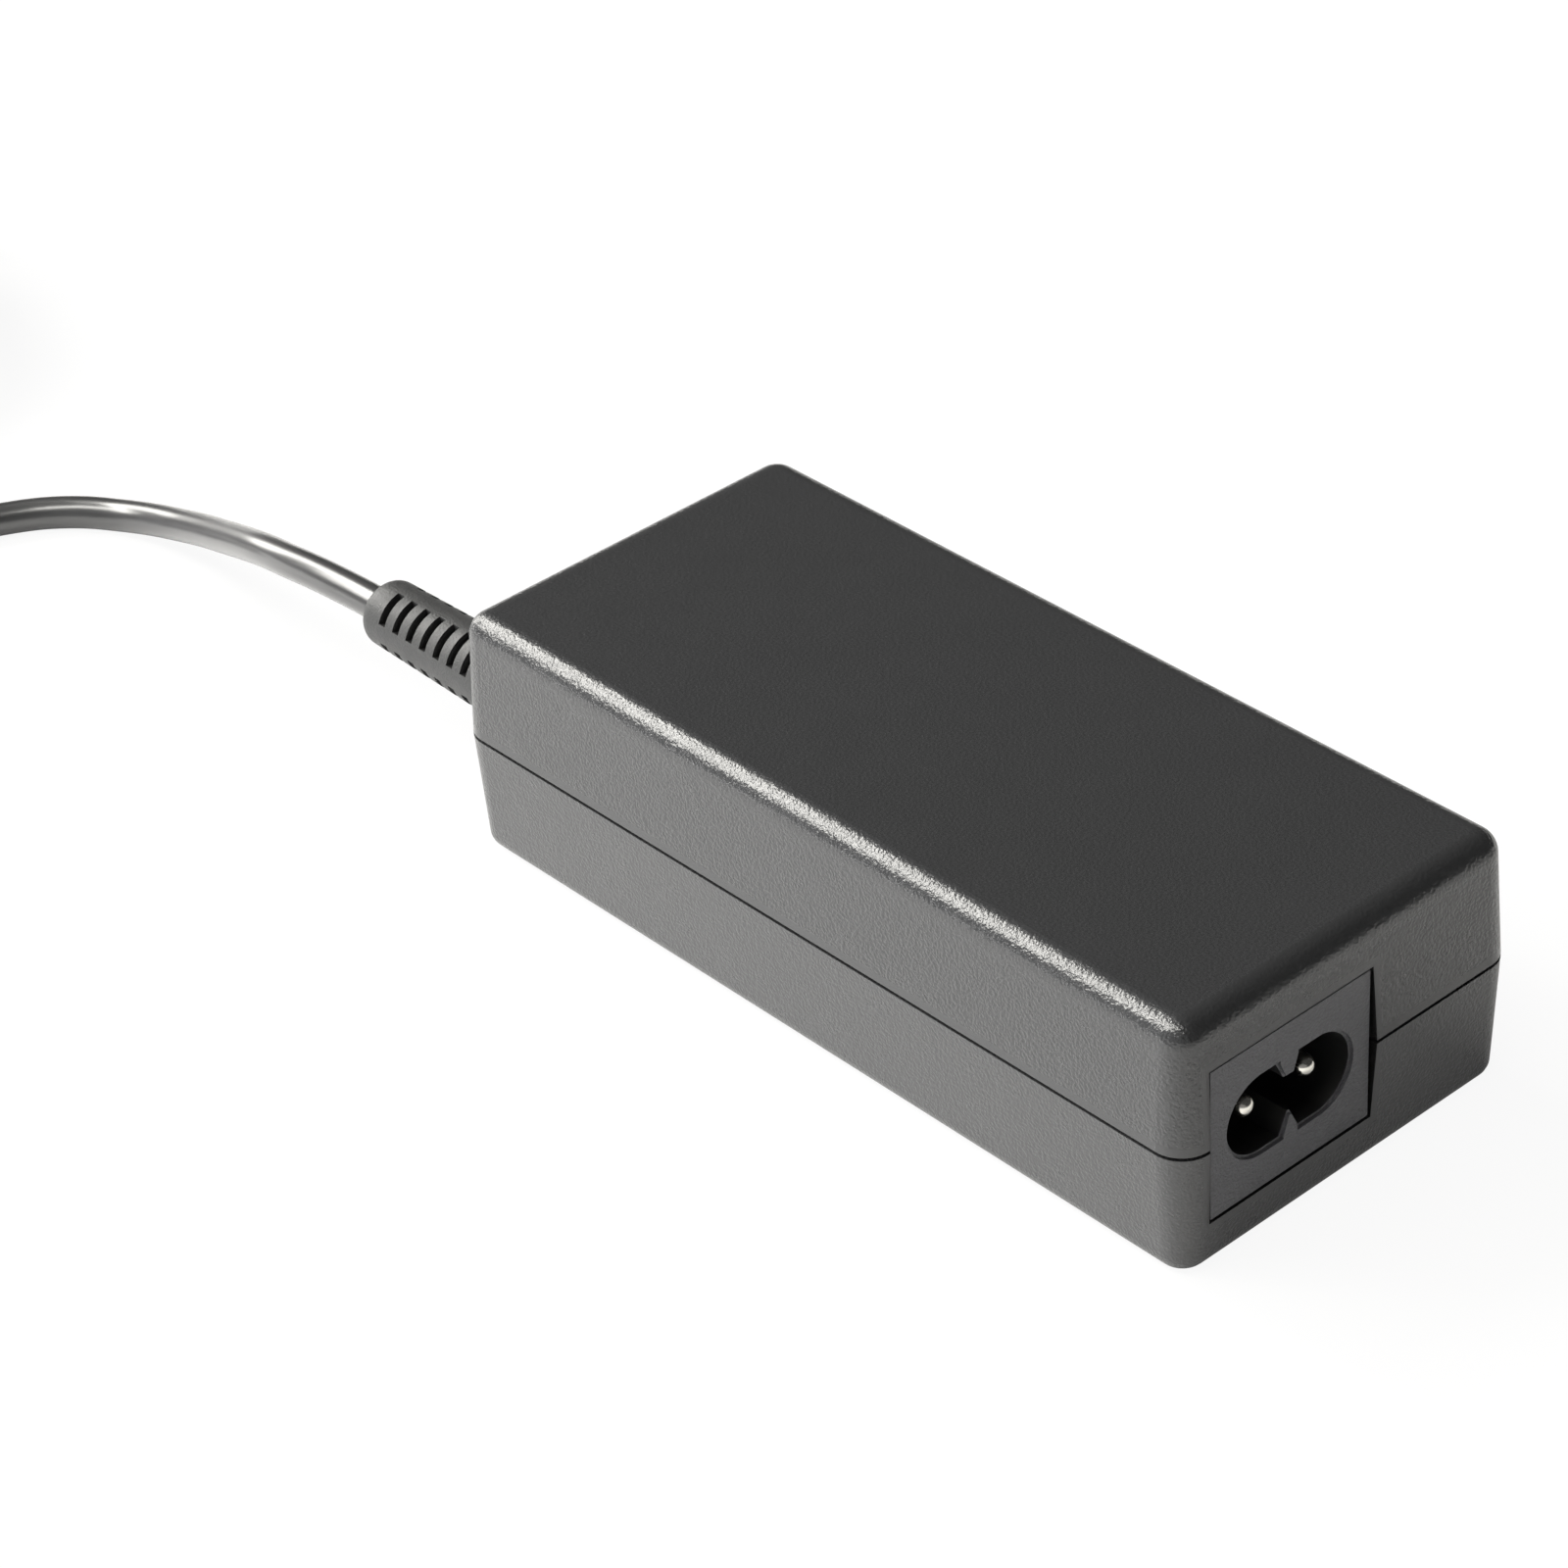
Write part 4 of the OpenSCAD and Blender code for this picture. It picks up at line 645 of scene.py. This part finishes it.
def plated(name, colour, axis, roughness=(0.16, 0.3)):
    """Rings about axis 0, 1 or 2: noise that is fine only along it."""
    finish = Finish(name)
    widths = [RING_LENGTH] * 3
    widths[axis] = RING_WIDTH
    rings = finish.noise(tuple(widths), detail=1.0)
    stains = finish.noise(1.2 * MM, detail=3.0).rise(0.35, 0.75)
    rough = roughness[0] + (roughness[1] - roughness[0]) * stains
    return finish.shade({
        "Base Color": finish.colours(stains, *reversed(shades(colour, 0.08))),
        "Metallic": 1.0, "Roughness": rough,
        "Normal": finish.bump(rings, RING_DEPTH),
    })


pin_finish = plated("nickel_pins", (0.74, 0.72, 0.66), 1)
dress(pin_finish, "inlet_pin_left", "inlet_pin_right")
dress(plated("nickel_barrel", (0.72, 0.71, 0.68), 0), "plug_sleeve")
dress(plated("plated_contact", (0.72, 0.6, 0.36), 0), "plug_contact")

# %% [markdown]
# ## The cord's jacket
# The jacket is extruded, so its faint lines run along it, and it shines more
# than the case. The lines have to follow the cord through its bends, which
# object coordinates can't do. The tube's own UV map holds the way round and
# the way along, and the cosine and sine of the first close the ring.


# %% Jacket finish
LINE_WIDTHS = (0.22 * MM, 0.22 * MM, 25 * MM)  # round, round and along
WAVE_WIDTHS = (3 * MM, 3 * MM, 9 * MM)


def jacket(name, colour, coordinates="UV"):
    """Lines and slow waves, laid round a tube from its UV map, with a ring of
    radius * (cos, sin) of the way round. Short CAD pieces, which have no UV
    map, take them from Object coordinates."""
    finish = Finish(name, coordinates)
    ring = finish.place
    if coordinates == "UV":
        around, along, _ = finish.axes()
        angle = around * (2 * math.pi)
        ring = finish.joined(
            angle.math("COSINE") * (CORD_D / 2 * MM),
            angle.math("SINE") * (CORD_D / 2 * MM),
            along,
        )
    lines = finish.noise(LINE_WIDTHS, at=ring)
    waves = finish.noise(WAVE_WIDTHS, at=ring)
    return finish.shade({
        "Base Color": finish.colours(waves.rise(0.3, 0.7), *shades(colour, 0.12)),
        "Roughness": 0.28 + 0.06 * waves, "IOR": 1.7,
        "Coat Weight": 0.7, "Coat Roughness": 0.25,
        "Normal": finish.bump(lines * 0.5 + waves, 0.015 * MM),
    })


JACKET = (0.035, 0.035, 0.036)
dress(jacket("cord_jacket", JACKET), cord)
dress(
    jacket("cord_jacket_inner", JACKET, "Object"),
    "cord_inner_end", "cord_lead", "cord_coil", "cord_tail",
)
dress(jacket("wire_jacket_red", (0.4, 0.02, 0.018), "Object"), "output_wire_positive")
dress(jacket("wire_jacket_black", (0.02, 0.02, 0.021), "Object"), "output_wire_return")

# %% [markdown]
# ## The strap's nap
# Hook-and-loop tape is a woven band with a fine nap of loops. Modelled loops
# would be hundreds of thousands of faces, so the weave and the nap are bumps,
# and a little sheen gives the pale rim that short fibres show.

# %% Strap finish
STRAP_GIRTH = 17.2  # the way round the band's section, in mm
RIB_PITCH = 0.8 * MM
NAP_DARK, NAP_PALE = (0.018, 0.018, 0.02), (0.042, 0.042, 0.045)
nap = Finish("hook_and_loop", "UV")
strap_round, strap_along, _ = nap.axes()
cell = nap.joined(strap_round * STRAP_GIRTH * MM, strap_along, 0.0)
fibres = nap.noise((0.12 * MM, 0.35 * MM, 1.0), detail=3.0, at=cell)
tufts = nap.noise(0.9 * MM, detail=3.0, at=cell)
ribs = (strap_along * (2 * math.pi / RIB_PITCH)).math("SINE") * 0.5 + 0.5
nap.shade({
    "Base Color": nap.colours(tufts.rise(0.3, 0.7), NAP_DARK, NAP_PALE),
    "Roughness": 0.78 + 0.15 * fibres,
    "Sheen Weight": 0.35,
    "Normal": nap.bump(fibres * 0.6 + tufts * 0.6 + ribs * 0.35, 0.16 * MM),
})
dress(nap, tie, "coil_tie")

# %% [markdown]
# ## The circuit board and its sheet
# The board is green lacquer over copper. Where copper lies under it the
# lacquer is paler and stands a hair higher. The tracks could be drawn one by
# one, but a texture of square cells, whose middles are moved by chance, gives
# edges that turn at right angles as tracks do. The insulating sheet round the
# board is a milky film with faint streaks from its rolling.

# %% Board finish
TRACK_CELL = 3.4 * MM
BARE_GREEN, COPPER_GREEN = (0.012, 0.075, 0.028), (0.035, 0.17, 0.06)
board = Finish("green_lacquer")
board_x, board_y, _ = board.axes()
tracks = board.add("ShaderNodeTexVoronoi", {"distance": "CHEBYCHEV"}, {
    "Vector": board.joined(board_x, board_y, 0.0),
    "Scale": 1 / TRACK_CELL, "Randomness": 0.85,
})
copper = 1 - tracks.rise(0.3, 0.34)
weave = board.noise(0.5 * MM, detail=1.0)
board.shade({
    "Base Color": board.colours(copper, BARE_GREEN, COPPER_GREEN),
    "Roughness": 0.26 + 0.12 * weave,
    "Normal": board.bump(copper + 0.3 * weave, 0.03 * MM),
})
dress(board, "main_board")

# %% Sheet finish
film = Finish("insulating_film")
streaks = film.noise((40 * MM, 0.8 * MM, 0.8 * MM), detail=3.0)
film.shade({
    "Base Color": film.colours(streaks, (0.7, 0.67, 0.56), (0.8, 0.78, 0.7)),
    "Roughness": 0.3 + 0.2 * streaks,
    "Normal": film.bump(streaks, 0.03 * MM),
})
dress(film, "insulating_sheet")

# %% [markdown]
# ## Capacitors, cores and windings
# Every component has its own surface. The capacitors are aluminium cans in a
# shrunk sleeve with a pale stripe down one side, and the middle of the end
# stays bare. The chokes and the transformer are grey sintered ferrite. Their
# wire is enamelled copper. Inside a closed case it isn't worth a tube for each
# turn, so the turns are stripes of painted light and shade, a lit band and a
# shaded one for each wire, which fan out from the middle of the ring: the angle
# about the ring's axis counts them.


# %% Sleeved capacitors
SLEEVE, STRIPE, BARE = (0.012, 0.02, 0.07), (0.3, 0.33, 0.4), (0.68, 0.69, 0.7)


def sleeved(node, axis):
    """axis is the can's own axis. The bare end is the disc within 0.72 of the
    radius, and the stripe lies within 0.35 of it on one side."""
    low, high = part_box(node)
    others = [k for k in range(3) if k != axis]
    middle = [(low[k] + high[k]) / 2 for k in range(3)]
    radius = (high[others[0]] - low[others[0]]) / 2
    middle[others[1]] = high[others[1]] - radius
    finish = Finish("sleeved_" + node)
    place = finish.axes()
    a, b = (place[k] - middle[k] for k in others)
    from_axis = (a * a + b * b).math("SQRT")
    bare = 1 - from_axis.rise(0.7 * radius, 0.74 * radius)
    narrow = 1 - a.math("ABSOLUTE").rise(0.33 * radius, 0.36 * radius)
    stripe = narrow * (1 - b.rise(-0.3 * radius, 0.0))
    wrinkles = finish.noise(1.6 * MM, detail=3.0)
    sleeve = finish.colours(stripe, SLEEVE, STRIPE)
    return finish.shade({
        "Base Color": finish.colours(bare, sleeve, BARE),
        "Metallic": bare, "Roughness": 0.28 + 0.12 * wrinkles,
        "Normal": finish.bump(wrinkles, 0.04 * MM),
    })


for node, axis in [
    ("reservoir_capacitor", 1), ("start_capacitor", 2),
    ("output_capacitor_left", 2), ("output_capacitor_right", 2),
]:
    dress(sleeved(node, axis), node)

# %% Ferrite
dress(
    moulded(
        "sintered_ferrite", (0.07, 0.07, 0.075), 0.35 * MM, 0.05 * MM, (0.6, 0.75)
    ),
    "line_choke_core", "transformer_lower_core", "transformer_upper_core",
    "output_choke",
)

# %% Copper turns
WIRES = 58  # |sin(58 * angle)| draws 2 * 58 wires on a full turn
SHADE_COPPER, LIT_COPPER = (0.12, 0.03, 0.008), (0.62, 0.24, 0.07)
core_low, core_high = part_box("line_choke_core")
ring_x = (core_low[0] + core_high[0]) / 2
ring_z = core_high[2] - (core_high[0] - core_low[0]) / 2
turns = Finish("copper_turns")
x, _, z = turns.axes()
turn_angle = (z - ring_z).math("ARCTAN2", x - ring_x)
wires = (turn_angle * WIRES).math("SINE").math("ABSOLUTE")
# Painted light and shade: each wire is a lit band and a shaded one.
turns.shade({
    "Base Color": turns.colours(wires, SHADE_COPPER, LIT_COPPER),
    "Roughness": 0.42 - 0.16 * wires,
    "Normal": turns.bump(wires, 0.3 * MM),
})
dress(turns, "line_choke_winding_left", "line_choke_winding_right")

# %% [markdown]
# ## Sheet metal, tape and the small parts
# The heat sinks are stamped from rolled aluminium, so their grain runs one
# way. A plain metallic colour would look like foil, and noise that is
# stretched along the grain doesn't. The transformer is wrapped in layers of
# yellow tape. The rest is moulded epoxy, dipped lacquer, soft silicone or
# plated steel, most of it from the recipe for moulded plastic.


# %% Rolled and turned metal
def rolled(name, colour, widths, roughness):
    """Noise that is long the way the metal was rolled or turned."""
    finish = Finish(name)
    grain = finish.noise(widths, detail=3.0)
    stains = finish.noise(5 * MM)
    return finish.shade({
        "Base Color": finish.colours(stains, *shades(colour, 0.06)),
        "Metallic": 1.0, "Roughness": roughness + 0.2 * grain,
        "Normal": finish.bump(grain, 0.01 * MM),
    })


dress(
    rolled("rolled_aluminium", (0.66, 0.67, 0.69), (0.1 * MM, 14 * MM, 0.1 * MM), 0.28),
    "input_heat_sink", "output_heat_sink", "heat_spreader",
)
dress(
    rolled("zinc_steel", (0.58, 0.58, 0.56), (0.08 * MM, 0.5 * MM, 0.5 * MM), 0.25),
    "transistor_screw", "rectifier_screw",
)

# %% Tape
TAPE_PITCH = 1.7 * MM
DARK_TAPE, PALE_TAPE = (0.62, 0.42, 0.03), (0.78, 0.6, 0.08)
tape = Finish("winding_tape")
tape_z = tape.axes()[2]
layers = (tape_z * (2 * math.pi / TAPE_PITCH)).math("SINE").rise(0.6, 0.95)
creases = tape.noise((6 * MM, 6 * MM, 0.7 * MM), detail=3.0)
tape.shade({
    "Base Color": tape.colours(creases, DARK_TAPE, PALE_TAPE),
    "Roughness": 0.3 + 0.15 * creases,
    "Normal": tape.bump(layers + creases, 0.05 * MM),
})
dress(tape, "transformer_winding")

# %% Small ceramic and metal chips
CHIP_CELL = 1.1 * MM
chips = Finish("chip_parts")
grid_cells = chips.add("ShaderNodeTexVoronoi", {"distance": "CHEBYCHEV"}, {
    "Vector": chips.place, "Scale": 1 / CHIP_CELL, "Randomness": 0.2,
})
ends = grid_cells.rise(0.36, 0.42)
chips.shade({
    "Base Color": chips.colours(ends, (0.24, 0.16, 0.09), (0.62, 0.62, 0.6)),
    "Metallic": ends, "Roughness": 0.35 + 0.1 * chips.noise(0.3 * MM),
})
dress(chips, "small_chip_parts")

# %% Epoxy, lacquer, silicone and the bobbin
# Each row: name, colour, width and depth of the grain in mm, gloss, pieces.
for name, colour, grain, depth, gloss, pieces in [
    ("epoxy_black", (0.03, 0.03, 0.031), 0.16, 0.012, (0.45, 0.6),
     ["bridge_rectifier", "switching_transistor", "output_rectifier", "control_chip"]),
    ("box_yellow", (0.62, 0.47, 0.08), 0.5, 0.01, (0.3, 0.42),
     ["interference_capacitor"]),
    ("lacquer_blue", (0.02, 0.09, 0.36), 1.4, 0.06, (0.16, 0.26),
     ["surge_absorber", "isolation_capacitor"]),
    ("cap_red", (0.34, 0.03, 0.02), 0.6, 0.01, (0.24, 0.34), ["input_fuse"]),
    ("bobbin_cream", (0.66, 0.6, 0.45), 0.3, 0.012, (0.4, 0.52),
     ["transformer_bobbin"]),
    ("chip_cream", (0.7, 0.67, 0.58), 0.2, 0.01, (0.36, 0.48), ["optocoupler"]),
    ("silicone_pink", (0.62, 0.33, 0.38), 0.25, 0.02, (0.6, 0.75),
     ["input_heat_pad", "output_heat_pad"]),
]:
    dress(moulded(name, colour, grain * MM, depth * MM, gloss), *pieces)

# %% [markdown]
# ## The studio floor
# The floor is a sheet of white paper. White could come from brighter lamps,
# but they would wash out the black case. So to the camera most of the paper is
# a glow of strength 1, which is plain white, and metal, gloss and glass see
# a smaller share of that glow. All the rest is matte, takes the light of the
# lamps, and keeps the object's soft shadow.

# %% Floor
FLOOR_HALF, CAMERA_GLOW, MIRROR_GLOW = 3.0, 0.92, 0.15
PAPER_WHITE = (0.86, 0.86, 0.86)
floor_mesh = bpy.data.meshes.new("studio_floor")
corners = np.array([[-1, -1, 0], [1, -1, 0], [1, 1, 0], [-1, 1, 0]]) * FLOOR_HALF
floor_mesh.from_pydata(corners.tolist(), [], [[0, 1, 2, 3]])
studio_floor = bpy.data.objects.new("studio_floor", floor_mesh)
bpy.context.scene.collection.objects.link(studio_floor)

paper = Finish("floor_white")
matte = paper.add("ShaderNodeBsdfDiffuse", {}, {"Color": PAPER_WHITE})
glow = paper.add("ShaderNodeEmission", {}, {"Color": (1, 1, 1), "Strength": 1.0})
camera_ray, glossy_ray, glass_ray = (
    paper.add("ShaderNodeLightPath", {}, {}, f"Is {kind} Ray")
    for kind in ("Camera", "Glossy", "Transmission")
)
share_seen = CAMERA_GLOW * camera_ray + MIRROR_GLOW * glossy_ray.larger(glass_ray)
mixed = paper.add("ShaderNodeMixShader", {}, {0: share_seen, 1: matte, 2: glow})
paper.add("ShaderNodeOutputMaterial", {}, {"Surface": mixed})
dress(paper, studio_floor)

# %% World
WORLD_LEVEL = 0.05
sky = Finish("studio_world", made_in=bpy.data.worlds)
room = sky.add("ShaderNodeBackground", {}, {
    "Color": (1, 1, 1), "Strength": WORLD_LEVEL,
})
sky.add("ShaderNodeOutputWorld", {}, {"Surface": room})
bpy.context.scene.world = sky.block
print("floor in m:", 2 * FLOOR_HALF, "world level:", WORLD_LEVEL)

# %% [markdown]
# ## The lamps
# A glossy black object shows its lamps more than its colour. One large lamp
# overhead would be simpler, but it would turn the flat top pale. A long narrow
# lamp, placed where a surface would mirror it into the camera, draws a line
# of light along a rounded edge or the cord, and the flat top stays dark
# because it mirrors nothing bright. Three slightly warm strips behind the
# object do this. The long side gets its grey from the floor, and from a box
# on the left that is hidden from reflections, so that it fills without a
# line of its own. A large dim wall in front keeps the inlet's end from going
# black.

# %% Lamps
AIM = np.array([0.0, 0.0, 0.015])  # the middle of the case


def soft_lamp(name, place, size, level, along=(0.0, 1.0, 0.0), colour=(1, 1, 1)):
    """A rectangle of light at place that faces the adapter, with its first
    side along a direction. level is the light that it lays on a surface that
    faces it there, as a share of plain white: a power of
    level * pi^2 * distance^2."""
    place = np.array(place)
    away = place - AIM
    distance = np.linalg.norm(away)
    away /= distance
    across = np.array(along) - np.dot(along, away) * away
    across /= np.linalg.norm(across)
    lamp_data = bpy.data.lights.new(name, "AREA")
    lamp_data.shape = "RECTANGLE"
    lamp_data.size, lamp_data.size_y = size
    lamp_data.color = colour
    lamp_data.energy = level * math.pi**2 * distance**2
    lamp = bpy.data.objects.new(name, lamp_data)
    turned = np.eye(4)
    turned[:3, :3] = np.stack([across, np.cross(away, across), away], axis=1)
    turned[:3, 3] = place
    lamp.matrix_world = Matrix(turned.tolist())
    bpy.context.scene.collection.objects.link(lamp)
    print(name, "watts:", round(lamp_data.energy, 1))
    return lamp


WARM = (1.0, 0.985, 0.94)
# Two for the long rounded top edge, the first also for the near part of the cord.
soft_lamp("back_strip", (-0.42, 0.88, 0.9), (1.05, 0.3), 0.9, (1, 0, 0.36), WARM)
soft_lamp("rear_strip", (-0.05, 1.25, 0.52), (0.4, 1.15), 0.7, (1, 0, 0), WARM)
# One for the top of the cord where it turns away.
soft_lamp("over_strip", (-0.55, 0.2, 1.05), (1.2, 0.25), 0.8, (-0.28, 0.93, 0), WARM)
# Two that fill: the long side, and the inlet's end.
left_box = soft_lamp(
    "left_box", (-0.97, 0.87, 0.1), (1.0, 0.18), 2.3, (0.67, 0.74, 0)
)
left_box.visible_glossy = False
soft_lamp("front_wall", (-1.1, -1.1, 0.45), (2.2, 1.1), 0.06)

bpy.context.scene.view_settings.view_transform = "Standard"
